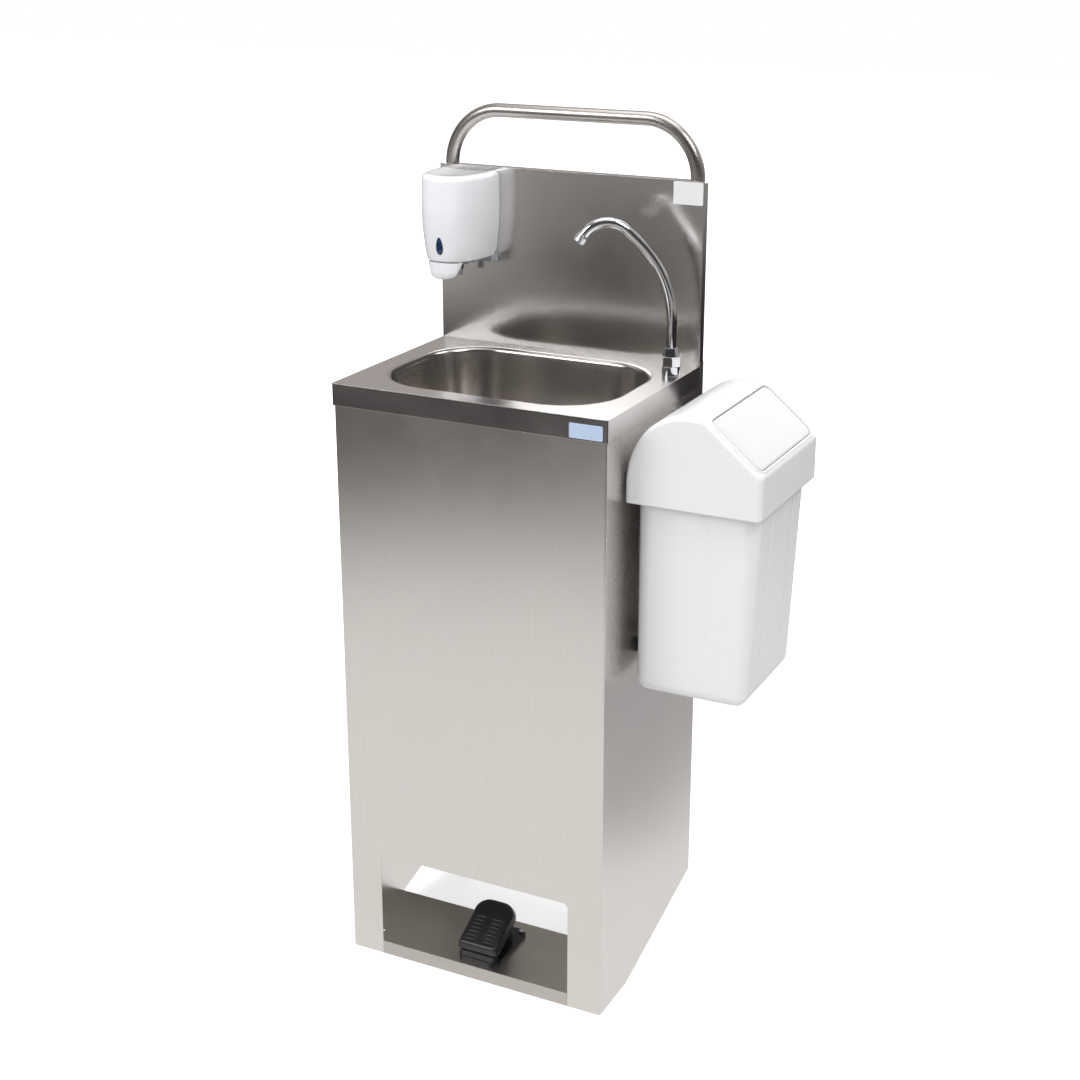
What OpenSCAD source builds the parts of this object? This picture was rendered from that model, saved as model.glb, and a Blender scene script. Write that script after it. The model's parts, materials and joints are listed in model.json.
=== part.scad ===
// Mobile hand wash sink: a folded steel cabinet with a pressed bowl, a foot pump, two water
// containers inside, a soap dispenser, a side bin, a push handle and two rear wheels.
// The origin is on the floor, in the middle of the strip that the front of the base stands on.
// +X is to the right, +Y to the rear and +Z up.

/* [Cabinet] */
// Outer width of the folded cabinet
cabinet_w = 396; // [360:2:460]
// Outer depth of the cabinet
cabinet_d = 320; // [314:2:360]
// Height of the deck above the floor
deck_h = 850; // [800:5:950]
// Thickness of the steel sheet
sheet = 1.5; // [1:0.1:2]
// Width of the flanges turned in at the rear
return_w = 18; // [12:1:30]
// Length of the side's foot that stands on the floor
foot_l = 85; // [60:5:100]
// Rise of the side's bottom edge at the rear
foot_rise = 65; // [40:5:80]
// Height of the sides above the deck, behind the splashback
ear_h = 3; // [0:1:6]

/* [Pedal opening] */
// Width of the opening in the front
opening_w = 296; // [240:2:320]
// Height of the opening's top edge
opening_h = 161; // [150:1:170]
// Radius of the opening's top corners
opening_r = 8; // [4:1:15]
// Height of the floor plate's top face
sill_h = 20; // [16:1:26]
// Depth of the floor plate
plate_d = 133; // [128:1:160]
// Depth of the strip that stands on the floor
base_lip = 15; // [10:1:20]

/* [Deck and splashback] */
// Overhang of the deck in front and at the sides
deck_overhang = 2; // [1.8:0.2:4]
// Depth of the deck, from its front to the splashback
deck_d = 299; // [293:1:302]
// Height of the deck's apron
apron_h = 30; // [24:1:40]
// Height of the splashback above the deck
splash_h = 250; // [220:5:320]
// Depth of the splashback's folded edges
splash_return = 12; // [8:1:16]

/* [Bowl] */
// Width of the bowl's mouth
bowl_w = 340; // [300:2:344]
// Depth of the bowl's mouth, front to rear
bowl_d = 244; // [220:2:246]
// Distance from the deck's front to the bowl's mouth
bowl_front = 30; // [26:1:34]
// Corner radius of the bowl's mouth
bowl_r = 86; // [70:2:110]
// How deep the bowl is
bowl_h = 150; // [120:5:170]

/* [Push handle] */
// Diameter of the handle's tube
tube_d = 19; // [16:0.5:20]
// Width of the handle between the centres of its legs
handle_w = 372; // [330:2:372]
// Height of the handle's grip above the splashback
handle_rise = 86; // [70:2:140]
// Bending radius of the tube's centre line
handle_bend = 76; // [50:2:80]

/* [Tap] */
// Distance of the tap from the deck's right edge
tap_side = 18; // [16:0.5:20]
// Distance of the tap from the splashback
tap_rear = 58; // [50:1:64]
// Diameter of the spout's tube
spout_d = 14; // [12:0.5:15]
// Direction of the spout, from the rear's line towards the user
spout_turn = 25; // [10:1:60]
// Radius of the spout's long lower bend
spout_long_r = 150; // [130:5:170]
// Radius of the spout's top bend
spout_top_r = 38; // [34:1:44]

/* [Foot pump] */
// Width of the treadle
treadle_w = 64; // [56:1:72]
// Length of the treadle
treadle_l = 84; // [78:1:86]
// Slope of the treadle when it is up
tilt = 28; // [25:1:30]

/* [Water containers] */
// Width of one container
can_w = 174; // [150:2:176]
// Depth of one container
can_d = 240; // [200:5:250]
// Height of one container's body
can_h = 252; // [200:5:270]
// Height of the shelf that carries them
shelf_h = 190; // [185:1:200]

/* [Soap dispenser] */
// Width of the dispenser
soap_w = 98; // [86:1:100]
// Depth of the dispenser
soap_d = 90; // [82:1:94]
// Height of the dispenser's cover
soap_h = 128; // [120:1:140]
// Distance of the dispenser's side from the splashback's left edge
soap_side = -3; // [-4:1:30]
// Distance of its top below the splashback's top
soap_drop = 5; // [3:1:30]

/* [Bin] */
// Width of the bin's hood, from the cabinet outwards
hood_w = 182; // [170:2:200]
// Length of the hood, front to rear
hood_l = 214; // [200:2:224]
// Height of the hood's ridge above its skirt
hood_h = 122; // [115:1:130]
// Height of the hood's ridge against the deck
hood_over_deck = 2; // [0:1:5]
// Distance of the hood's front behind the deck's front
hood_front = 50; // [45:1:60]
// Height of the bucket
bucket_h = 272; // [240:2:300]
// Wall of the bin's plastic
bin_wall = 2.5; // [2:0.1:3]

/* [Wheels] */
// Diameter of the wheels
wheel_d = 80; // [75:1:84]
// Width of the tyres
wheel_w = 25; // [20:1:28]
// Distance between the wheels' middles
wheel_track = 290; // [240:5:300]
// Height of the castors
castor_h = 102; // [98:1:110]

/* [Hidden] */
$fn = 48;

// Clearances: the overrun of cuts, seats, running fits and moving gaps.
cut = 1;
seat = 0.3;
run_fit = 0.05;
fit_d = 2 * run_fit;
move_gap = 1;

// Thickness of the slices that a smooth form is drawn over.
thin = 0.15;

// Angle between the rings of a swept bend, and the sides of a hose and of a metal tube.
bend_step = 9;
hose_sides = 14;
tube_sides = 24;

// Cabinet.
body_front = -base_lip / 2;
body_rear = body_front + cabinet_d;
deck_front = body_front - deck_overhang;
splash_face = deck_front + deck_d;
splash_back = splash_face + sheet;
deck_w = cabinet_w + 2 * deck_overhang;
deck_under = deck_h - sheet;
inner_w = cabinet_w - 2 * sheet;
fold_r = 2 * sheet;
top_flange = 8 * sheet;
weld_gap = 0.2;
fold_gap = 0.5;
notch_w = opening_w - 2 * weld_gap;
plate_rear_lip = 3 * sheet;

// Splashback and handle.
splash_top = deck_h + splash_h;
splash_bottom = deck_h - apron_h + sheet;
handle_top = splash_top + handle_rise - tube_d / 2;
handle_y = splash_back + seat + tube_d / 2;
handle_foot = deck_h - splash_h;
handle_wall = 1.5;
saddle_t = 2;
saddle_h = 24;
saddle_ear = 12;
saddle_share = [0.84, 0.36];
stud_d = 5;
nut_af = 8;
nut_h = 4;

// Shelf and rear crossmember.
shelf_rear = body_rear - sheet - move_gap;
shelf_lip = 20;
hose_hole_d = 14;
cross_w = 60;
cross_lip = 22;
cross_z = castor_h;

// Castors.
castor_y = shelf_rear - cross_w / 2;
axle_z = wheel_d / 2;
axle_d = 8;
hub_over = 3;
hub_w = wheel_w + hub_over;
hub_d = 22;
rim_share = 0.72;
rim_d = wheel_d * rim_share;
rim_web_share = 0.4;
fork_t = 2.5;
fork_gap = 0.5;
fork_half = hub_w / 2 + fork_gap;
fork_plate_l = 56;
fork_plate_w = 52;
fork_top_w = 30;
fork_end_r = 11;
bolt_d = 6;
bolt_af = 10;
bolt_head = 4;
bolt_nut = 5;
bolt_inset = 6;
axle_af = 13;
axle_head = 5;

// Bowl and waste.
bowl_mid_y = deck_front + bowl_front + bowl_d / 2;
bowl_flange = 12;
bowl_draft = 14;
bowl_fillet = 46;
bowl_steps = 7;
bowl_floor = deck_h - bowl_h;
waste_d = 64;
waste_tube_d = 42;
waste_bore_d = 38;
waste_tube_l = 30;
waste_slot = 5;
waste_ring_t = 4;
waste_ring_d = 60;
waste_nut_h = 8;
waste_nut_af = 54;
waste_tail_d = 52;
waste_tail_l = 26;
drain_od = 24;
drain_id = 19;
barb_l = 18;
tail_top = bowl_floor - sheet - waste_ring_t - waste_nut_h - weld_gap;

// Tap.
tap_x = deck_w / 2 - tap_side;
tap_y = splash_face - tap_rear;
tap_foot_d = 24.4;
tap_foot_h = 12;
tap_shank_d = 16;
tap_shank_l = 34;
tap_bore_d = 8;
tap_neck_d = 18;
tap_neck_h = 17;
tap_socket_h = 22;
tap_nut_af = 23;
tap_nut_h = 13.6;
tap_cone_h = 11.4;
tap_cone_d = 17;
tap_washer_d = 29;
tap_washer_t = 3;
tap_locknut_af = 24;
tap_locknut_h = 7;
spout_wall = 1.4;
spout_base_z = deck_h + tap_foot_h + tap_neck_h - tap_socket_h + cut;
spout_rise = 34;
spout_bend_z = deck_h + tap_foot_h + tap_nut_h + tap_cone_h + spout_rise;
spout_long_turn = 46;
spout_top_turn = 99;
spout_middle = 20;
spout_nose = 5;
aerator_d = 16.6;
aerator_l = 12;
aerator_cap = 5;
aerator_hole_d = 1.6;
aerator_share = 0.3;

// Foot pump. The pump sits in the middle of the opening.
cup_in = 60;
pivot_in = 9;
pivot_up = 20;
pump_in = 10;
pump_front = body_front + pump_in;
pump_w = treadle_w;
pump_l = 100;
pump_plate_t = 5;
pump_r = 12;
pump_lip_h = 14;
pivot_z = sill_h + pivot_up;
pivot_y = pump_front + pivot_in;
pivot_d = 4;
pivot_ear_t = 4;
pivot_ear_w = 8;
ear_gap = 1;
treadle_t = 4;
treadle_skirt = 14;
treadle_wall = 3;
treadle_end_r = 20;
treadle_front_r = 5;
treadle_nose = 8;
pivot_drop = 7;
rib_count = 7;
rib_w = 21;
rib_t = 1.8;
rib_h = 1.2;
rib_pitch = 6.1;
rib_first = 11;
rib_inset = 8;
cup_d = 50;
cup_y = pump_front + cup_in;
cup_h = 8;
bellows_d = 44;
bellows_neck = 34;
bellows_wall = 2;
bellows_pleats = 4;
bellows_h = 32;
pusher_d = 14;
bellows_low = sill_h + pump_plate_t + weld_gap;
spring_d = 22;
spring_wire = 2;
spring_turns = 5;
port_d = 8;
port_bore = 5;
port_l = 24;
port_x = 7.5;
port_z = (sill_h - sheet) / 2;
port_block = 10;
pump_screw_d = 4;
pump_screw_head = 8;
pump_screw_h = 2.5;
pump_screw_inset = 7;

// Hoses between the pump, the clean container and the tap.
hose_up = 70;
hose_od = 12;
hose_bend = 36;
hose_slot = 24;
hose_turn = 60;
riser_run = 50;
riser_in = [12.5, 21.5];
riser = [inner_w / 2 - riser_in[0], body_front + riser_in[1]];
clip_w = 7;
clip_t = 1;
clip_ear = 6;
can_cap_in = 78;
can_cap_shift = 7;
can_cap_y = body_front + can_cap_in;
suction_top = shelf_h + can_h + hose_up;

// Containers.
can_out = 15;
can_in = 42;
can_r = 22;
can_wall = 2.5;
can_x = can_w / 2 + can_out;
cap_x = [-can_x - can_cap_shift, can_x - can_cap_shift];
can_y = body_front + can_in + can_d / 2;
can_floor = shelf_h + weld_gap;
can_top = can_floor + can_h;
neck_d = 44;
neck_h = 16;
neck_bore = 37;
cap_d = 52;
cap_h = 18;
cap_t = 3;
cap_grips = 20;
can_grip_w = 22;
can_grip_h = 42;
can_grip_l = 130;
can_grip_post = 20;
can_grip_bar = 16;
can_grip_shift = 38;

// Soap dispenser.
hinge_up = 5;
hinge_in = 7;
window_up = 15;
lever_pin_up = 22;
lever_pin_in = 20;
res_up = 26;
soap_left = -deck_w / 2 + soap_side;
soap_x = soap_left + soap_w / 2;
soap_top = splash_top - soap_drop;
cover_z = soap_top - soap_h;
soap_wall = 2.5;
back_t = 3;
soap_plate_in = 5;
soap_power = 2.6;
soap_points = 36;
soap_dome = 8;
soap_dome_share = [[0.6, 0.25], [1, 0.9]];
hinge_z = cover_z + hinge_up;
hinge_y = splash_face - hinge_in;
soap_pin_d = 3;
soap_pin_l = 8;
soap_ear_t = 3;
soap_ear_w = 9;
window_w = 10;
window_h = 24;
window_z = cover_z + window_up;
window_t = 1.2;
lever_w = 50;
lever_drop = 22;
lever_t = 3;
lever_pin_z = cover_z + lever_pin_up;
lever_pin_y = splash_face - soap_d + lever_pin_in;
lever_arm = 12;
lever_foot = 9;
lever_gap = 1.2;
finger_w = 12;
finger_h = 8;
res_w = 70;
res_d = 54;
res_h = 64;
res_r = 14;
res_wall = 2;
res_fill_d = 30;
res_z = cover_z + res_up;
dose_d = 20;
dose_z = hinge_z;
dose_l = 34;
soap_nozzle_d = 8;
soap_nozzle_drop = 12;
plunger_d = 8;
plunger_in = 14;
plunger_y = lever_pin_y + lever_arm / 2;
plunger_head = 10;
plunger_head_t = 3;
soap_screw_d = 4.5;
soap_screw_head = 9;
soap_screw_t = 3;
lock_d = 12;
lock_t = 4;
lock_key = 3;

// Bin.
bucket_in = 10;
bucket_up = 8;
bracket_down = 40;
buffer_up = 38;
bin_gap = 1;
hood_x = deck_w / 2 + bin_gap;
hood_y = deck_front + hood_front;
hood_top = deck_h + hood_over_deck;
skirt_z = hood_top - hood_h;
hood_ridge_share = 0.572;
hood_eave_share = 0.47;
hood_round_share = 0.445;
hood_shoulder_share = 0.2;
hood_arc_points = 10;
hood_gable = 6;
slope_in = 6;
ridge_x = hood_x + hood_w * hood_ridge_share;
eave_z = skirt_z + hood_h * hood_eave_share;
slope_dx = hood_x + hood_w - ridge_x;
slope_dz = hood_top - eave_z;
slope_l = norm([slope_dx, slope_dz]);
slope_a = atan2(slope_dz, slope_dx);
flap_t = 2.5;
flap_gap = 1.2;
flap_pin_d = 3;
flap_pin_in = 6;
flap_boss_d = 8;
flap_wind_l = 12;
flap_wire = 1;
flap_turns = 6;
bucket_x = hood_x + bucket_in;
bucket_top_w = 164;
bucket_low_w = 153;
bucket_top_l = 192;
bucket_low_l = 180;
bucket_r = 18;
bucket_low_r = 14;
floor_r = 12;
bucket_top = skirt_z + bucket_up;
bucket_floor = bucket_top - bucket_h;
bucket_y = hood_y + hood_l / 2;
floor_round_share = 0.3;
bucket_r_share = 0.8;
rim_out = 3;
rim_t = 4;
ledge_w = 5;
bracket_t = 2;
bracket_l = 80;
bracket_h = 62;
bracket_top = bucket_top - bracket_down;
hook_reach = 4.5;
hook_h = 34;
lug_l = 60;
lug_t = 2.5;
lug_drop = 28;
rivet_d = 4.8;
rivet_share = [0.25, 0.8];
rivet_in_share = 0.7;
rivet_tail_share = 1.4;
rivet_head = 9;
rivet_t = 1.2;
buffer_d = 20;
buffer_z = bucket_floor + buffer_up;
buffer_spread = 60;

// A box between two opposite corners.
module slab(a, b) {
    lo = [for (i = [0 : 2]) min(a[i], b[i])];
    hi = [for (i = [0 : 2]) max(a[i], b[i])];
    translate(lo) cube(hi - lo);
}

// A flat outline with round corners, about its middle.
module rounded_rect(w, d, r) {
    square([w - 2 * r, d], center = true);
    square([w, d - 2 * r], center = true);
    for (sx = [-1, 1], sy = [-1, 1]) {
        translate([sx * (w / 2 - r), sy * (d / 2 - r)]) circle(r);
    }
}

// A round rod that stands at a height.
module rod(z, h, d) {
    translate([0, 0, z]) cylinder(h = h, d = d);
}

// A tube standing on its end.
module pipe(outer, bore, h) {
    difference() {
        rod(0, h, outer);
        rod(-cut, h + 2 * cut, bore);
    }
}

// A hexagon given across its flats.
module hexagon(af, h) {
    cylinder(h = h, d = af / cos(30), $fn = 6);
}

// A flat washer or ring with a hexagonal outside.
module hex_nut(af, bore, h) {
    difference() {
        hexagon(af, h);
        rod(-cut, h + 2 * cut, bore);
    }
}

// Turns children from +Z to +Y or +X.
module along_y() {
    rotate([-90, 0, 0]) children();
}
module along_x() {
    rotate([0, 90, 0]) children();
}

// A round rod from a point along +X, +Y or +Z.
module rod_x(at, h, d) {
    translate(at) along_x() rod(0, h, d);
}
module rod_y(at, h, d) {
    translate(at) along_y() rod(0, h, d);
}
module rod_z(at, h, d) {
    translate(at) rod(0, h, d);
}

function unit(v) = v / norm(v);
function turn_at(a, b, c) = acos(max(-1, min(1, unit(b - a) * unit(c - b))));

// The points of a bend at the corner b of a route that comes from a and goes on to c.
function bend_points(a, b, c, bend) =
    let (t = unit(b - a), turn = turn_at(a, b, c), steps = ceil(turn / bend_step),
         out = unit(unit(c - b) - t * cos(turn)), start = b - t * bend * tan(turn / 2))
    [for (i = [0 : steps])
        let (w = turn * i / steps) start + bend * (sin(w) * t + (1 - cos(w)) * out)];

// A route of corners with every corner rounded by the same bending radius.
function route_points(p, bend) = [
    p[0],
    each [for (i = [1 : len(p) - 2]) each bend_points(p[i - 1], p[i], p[i + 1], bend)],
    p[len(p) - 1]
];

// Normals carried along a run of directions without twist.
function carried(dirs, i, n) = i == len(dirs) ? [] :
    let (m = unit(n - (n * dirs[i]) * dirs[i])) concat([m], carried(dirs, i + 1, m));

// A tube swept through points, open at both ends.
module tube(points, outer, bore, sides) {
    last = len(points) - 1;
    dirs = [for (i = [0 : last])
        unit((i < last ? unit(points[i + 1] - points[i]) : [0, 0, 0])
             + (i > 0 ? unit(points[i] - points[i - 1]) : [0, 0, 0]))];
    normals = carried(dirs, 0, abs(dirs[0][0]) < 0.5 ? [1, 0, 0] : [0, 1, 0]);
    corners = [for (d = [outer, bore], i = [0 : last], j = [0 : sides - 1])
        let (a = 360 * j / sides, r = d / 2 / (d == bore ? cos(180 / sides) : 1))
        points[i] + r * (cos(a) * normals[i] + sin(a) * cross(dirs[i], normals[i]))];
    inner = (last + 1) * sides;
    end = last * sides;
    faces = [for (j = [0 : sides - 1])
        let (k = (j + 1) % sides)
        each [each [for (i = [0 : last - 1])
            let (m = i * sides, n = m + sides)
            each [[m + j, n + j, n + k], [m + j, n + k, m + k],
                  [inner + m + j, inner + n + k, inner + n + j],
                  [inner + m + j, inner + m + k, inner + n + k]]],
            [j, k, inner + k], [j, inner + k, inner + j],
            [end + j, inner + end + k, end + k], [end + j, inner + end + j, inner + end + k]]];
    polyhedron(corners, faces);
}

// A coil spring about +Z: one round wire with a ring of points at each step.
module coil(mean_d, wire, turns, h) {
    steps = 10;
    sides = 6;
    rings = round(turns * steps);
    rise = atan2(h / turns, PI * mean_d);
    points = [for (i = [0 : rings], j = [0 : sides - 1])
        let (a = 360 * i / steps, b = 360 * j / sides,
             out = wire / 2 * cos(b), up = wire / 2 * sin(b))
        [(mean_d / 2 + out) * cos(a) + up * sin(rise) * sin(a),
         (mean_d / 2 + out) * sin(a) - up * sin(rise) * cos(a),
         wire / 2 + h * i / rings + up * cos(rise)]];
    sides_faces = [for (i = [0 : rings - 1], j = [0 : sides - 1])
        let (k = (j + 1) % sides)
        each [[i * sides + j, (i + 1) * sides + j, (i + 1) * sides + k],
              [i * sides + j, (i + 1) * sides + k, i * sides + k]]];
    low_cap = [[for (j = [0 : sides - 1]) j]];
    high_cap = [[for (j = [sides - 1 : -1 : 0]) rings * sides + j]];
    polyhedron(points, concat(sides_faces, low_cap, high_cap));
}

// Folded cabinet: front, sides and rear returns from one sheet, with the pedal opening.
module cabinet_body() {
    full_h = deck_h + ear_h;
    color("#b9b4ac") difference() {
        union() {
            linear_extrude(full_h) difference() {
                translate([0, body_front + cabinet_d / 2]) rounded_rect(cabinet_w, cabinet_d, fold_r);
                translate([0, body_front + cabinet_d / 2])
                    rounded_rect(inner_w, cabinet_d - 2 * sheet, fold_r - sheet);
                translate([-(cabinet_w / 2 - return_w), body_rear - 2 * sheet])
                    square([cabinet_w - 2 * return_w, 3 * sheet]);
            }
            for (s = [-1, 1]) {
                slab([s * inner_w / 2, body_front + sheet, deck_under - sheet],
                     [s * (inner_w / 2 - top_flange), splash_face - top_flange, deck_under]);
            }
            slab([-inner_w / 2, body_front + sheet, deck_under - sheet],
                 [inner_w / 2, body_front + sheet + top_flange, deck_under]);
        }
        // The front and the sides end under the deck, as far back as the splashback.
        slab([-cabinet_w, body_front - cut, deck_under], [cabinet_w, splash_back + sheet, full_h + cut]);
        // The sides' bottom edge rises to the rear.
        rotate([90, 0, 90]) translate([0, 0, -cabinet_w])
            linear_extrude(2 * cabinet_w) polygon([
                [body_front + foot_l, -cut], [body_front + foot_l, 0],
                [body_rear + cut, foot_rise * (cabinet_d - foot_l + cut) / (cabinet_d - foot_l)],
                [body_rear + cut, -cut]
            ]);
        // Pedal opening, down to the floor plate's flange.
        translate([0, body_front + sheet + cut, 0]) rotate([90, 0, 0]) linear_extrude(2 * sheet + 2 * cut) {
            translate([0, opening_h / 2]) rounded_rect(opening_w, opening_h, opening_r);
            translate([-opening_w / 2, -cut]) square([opening_w, opening_h / 2 + cut]);
        }
        rod_z([tap_x, tap_y, deck_under - 2 * sheet], 3 * sheet, tap_washer_d + 2 * move_gap);
        // Holes for the rivets that pass through the right side.
        for (p = rivet_places()) {
            rod_x([cabinet_w / 2 - sheet - cut, p[0], p[1]], sheet + 2 * cut, rivet_d + fit_d);
        }
    }
}

// Floor plate with a flange in the front's notch and a lip on the floor.
module floor_plate() {
    w = inner_w - 2 * fold_gap;
    color("#6f6a64") difference() {
        union() {
            slab([-w / 2, body_front + sheet + fold_gap, sill_h - sheet],
                 [w / 2, body_front + plate_d, sill_h]);
            slab([-notch_w / 2, body_front, sill_h - sheet],
                 [notch_w / 2, body_front + 2 * sheet, sill_h]);
            slab([-notch_w / 2, body_front, 0], [notch_w / 2, body_front + sheet, sill_h]);
            slab([-notch_w / 2, body_front, 0], [notch_w / 2, body_front + base_lip, sheet]);
            slab([-w / 2, body_front + plate_d - sheet, sill_h - plate_rear_lip],
                 [w / 2, body_front + plate_d, sill_h]);
        }
        for (p = pump_screw_places()) {
            rod_z([p[0], p[1], sill_h - sheet - cut], sheet + 2 * cut, pump_screw_d + fit_d);
        }
        // Holes for the ports and slots for the hoses.
        for (s = [-1, 1]) {
            rod_z([s * port_x, cup_y, sill_h - sheet - cut], sheet + 2 * cut, port_block + fit_d);
            slab([s * (riser[0] - hose_slot), riser[1] - hose_hole_d / 2, sill_h - sheet - cut],
                [s * (riser[0] + cut), riser[1] + hose_hole_d / 2, sill_h + cut]);
        }
    }
}

// Shelf for the two containers, with a lip at the rear and holes for the hoses.
module jerrycan_shelf() {
    w = inner_w - 2 * fold_gap;
    front = body_front + sheet + fold_gap;
    color("#aaa69f") difference() {
        union() {
            slab([-w / 2, front, shelf_h - sheet], [w / 2, shelf_rear, shelf_h]);
            slab([-w / 2, front, shelf_h - shelf_lip], [w / 2, front + sheet, shelf_h]);
            slab([-w / 2, shelf_rear - sheet, shelf_h - shelf_lip],
                [w / 2, shelf_rear, shelf_h + shelf_lip]);
        }
        for (s = [-1, 1]) {
            rod_z([s * riser[0], riser[1], shelf_h - sheet - cut], sheet + 2 * cut, hose_hole_d);
        }
    }
}

// Channel across the rear that carries the castors.
module rear_crossmember() {
    w = inner_w - 2 * fold_gap;
    y0 = shelf_rear - cross_w;
    color("#aaa69f") difference() {
        union() {
            slab([-w / 2, y0, cross_z], [w / 2, shelf_rear, cross_z + sheet]);
            slab([-w / 2, y0, cross_z], [w / 2, y0 + sheet, cross_z + cross_lip]);
            slab([-w / 2, shelf_rear - sheet, cross_z], [w / 2, shelf_rear, cross_z + cross_lip]);
        }
        castor_bolt_places() rod(cross_z - cut, sheet + 2 * cut, bolt_d + fit_d);
    }
}

// Deck: top plate with the bowl's cut-out, aprons on three sides and a fold down at the rear.
module sink_deck() {
    color("#a39a92") difference() {
        union() {
            translate([0, 0, deck_h - apron_h]) linear_extrude(apron_h)
                translate([0, deck_front + deck_d / 2]) rounded_rect(deck_w, deck_d, fold_r);
            slab([-deck_w / 2, splash_face - 2 * fold_r, deck_h - apron_h],
                [deck_w / 2, splash_face, deck_h]);
        }
        slab([-deck_w / 2 + sheet, deck_front + sheet, deck_h - apron_h - cut],
             [deck_w / 2 - sheet, splash_face - sheet, deck_under]);
        for (s = [-1, 1]) {
            slab([s * (inner_w / 2 - weld_gap), splash_face - 2 * sheet, deck_h - apron_h - cut],
                 [s * (deck_w / 2 - sheet), splash_face + cut, deck_under]);
        }
        bowl_mouth(0, deck_h - sheet - cut, sheet + 2 * cut);
        rod_z([tap_x, tap_y, deck_under - cut], sheet + 2 * cut, tap_shank_d + seat);
    }
}

// The outline of the bowl's mouth, grown by a margin, as a plain prism.
module bowl_mouth(grow, z, h) {
    translate([0, bowl_mid_y, z]) linear_extrude(h)
        rounded_rect(bowl_w + 2 * grow, bowl_d + 2 * grow, bowl_r + grow);
}

// A filled bowl: slices that draw in down the wall and round into the floor.
module bowl_fill(grow) {
    wall_h = bowl_h - bowl_fillet;
    hull() {
        bowl_slice(grow, 0, deck_under);
        for (i = [0 : bowl_steps]) {
            a = 90 * i / bowl_steps;
            bowl_slice(grow, bowl_draft + bowl_fillet * (1 - cos(a)),
                       deck_h - wall_h - (bowl_fillet + grow) * sin(a));
        }
    }
}
module bowl_slice(grow, inset, z) {
    translate([0, bowl_mid_y, z]) linear_extrude(thin)
        rounded_rect(bowl_w + 2 * grow - 2 * inset, bowl_d + 2 * grow - 2 * inset,
                     bowl_r + grow - inset, $fn = 32);
}

// Bowl: a deep pressing with a flange under the deck and a seat for the waste.
module sink_bowl() {
    color("#c9c2ba") difference() {
        union() {
            bowl_mouth(bowl_flange, deck_under - sheet, sheet);
            difference() {
                bowl_fill(sheet);
                slab([-bowl_w, bowl_mid_y - bowl_d, deck_under], [bowl_w, bowl_mid_y + bowl_d, deck_h]);
            }
        }
        bowl_fill(0);
        bowl_mouth(0, deck_under - 2 * sheet, 3 * sheet);
        rod_z([0, bowl_mid_y, bowl_floor - 3 * sheet], 6 * sheet, waste_tube_d + seat);
    }
}

// Splashback: upright sheet with folded top and side edges, behind the deck's rear fold.
module splashback() {
    color("#8f8b86") difference() {
        slab([-deck_w / 2, splash_face, splash_bottom],
            [deck_w / 2, splash_back + splash_return, splash_top]);
        slab([-deck_w / 2 + sheet, splash_back, splash_bottom - cut],
             [deck_w / 2 - sheet, splash_back + splash_return + cut, splash_top - sheet]);
        slab([-deck_w / 2 - cut, splash_back, splash_bottom - cut],
             [deck_w / 2 + cut, splash_back + splash_return + cut, deck_h + ear_h + move_gap]);
        for (s = [-1, 1]) {
            slab([s * (handle_w / 2 - tube_d / 2 - move_gap), splash_back, splash_top - sheet - cut],
                 [s * deck_w, splash_back + splash_return + cut, splash_top + cut]);
            slab([s * (inner_w / 2 - weld_gap), splash_face - cut, splash_bottom - cut],
                 [s * deck_w, splash_back + cut, deck_under]);
        }
        for (p = soap_screw_places()) {
            rod_y([p[0], splash_face - cut, p[1]], sheet + 2 * cut, soap_screw_d + fit_d);
        }
    }
}

// Push handle: one bent tube whose legs stand behind the splashback.
module push_handle() {
    x = handle_w / 2;
    color("#8d8f93") tube(route_points([
        [-x, handle_y, handle_foot], [-x, handle_y, handle_top],
        [x, handle_y, handle_top], [x, handle_y, handle_foot]
    ], handle_bend), tube_d, tube_d - 2 * handle_wall, tube_sides);
}

function saddle_heights() = [for (k = saddle_share) deck_h + splash_h * k];

// Saddles: straps that clamp the legs against the splashback.
module handle_saddles() {
    d = tube_d + fit_d;
    color("#9a9a9a") for (s = [-1, 1], z = saddle_heights()) {
        translate([s * handle_w / 2, handle_y, z - saddle_h / 2]) difference() {
            union() {
                rod(0, saddle_h, d + 2 * saddle_t);
                slab([0, -tube_d / 2 - seat, 0],
                     [-s * (d / 2 + saddle_t + saddle_ear), saddle_t, saddle_h]);
            }
            rod(-cut, saddle_h + 2 * cut, d);
            rod_y([-s * (tube_d / 2 + saddle_t + saddle_ear / 2), -tube_d,
                saddle_h / 2], 2 * tube_d, stud_d + fit_d);
            slab([-handle_w, -handle_w, -cut], [handle_w, -tube_d / 2 - seat, saddle_h + cut]);
        }
    }
}

// Studs on the back of the splashback, with the nuts that hold the saddles.
module handle_nuts() {
    color("#c8c8c8") for (s = [-1, 1], z = saddle_heights()) {
        x = s * (handle_w / 2 - tube_d / 2 - saddle_t - saddle_ear / 2);
        translate([x, handle_y + saddle_t, z]) along_y() hexagon(nut_af, nut_h);
        rod_y([x, splash_back, z], handle_y + saddle_t + cut - splash_back, stud_d);
    }
}

// Where the castors' bolts stand, four to each castor.
module castor_bolt_places() {
    for (s = [-1, 1], i = [-1, 1], j = [-1, 1]) {
        translate([s * wheel_track / 2 + i * (fork_plate_w / 2 - bolt_inset),
                   castor_y + j * (fork_plate_l / 2 - bolt_inset), 0]) children();
    }
}

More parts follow.
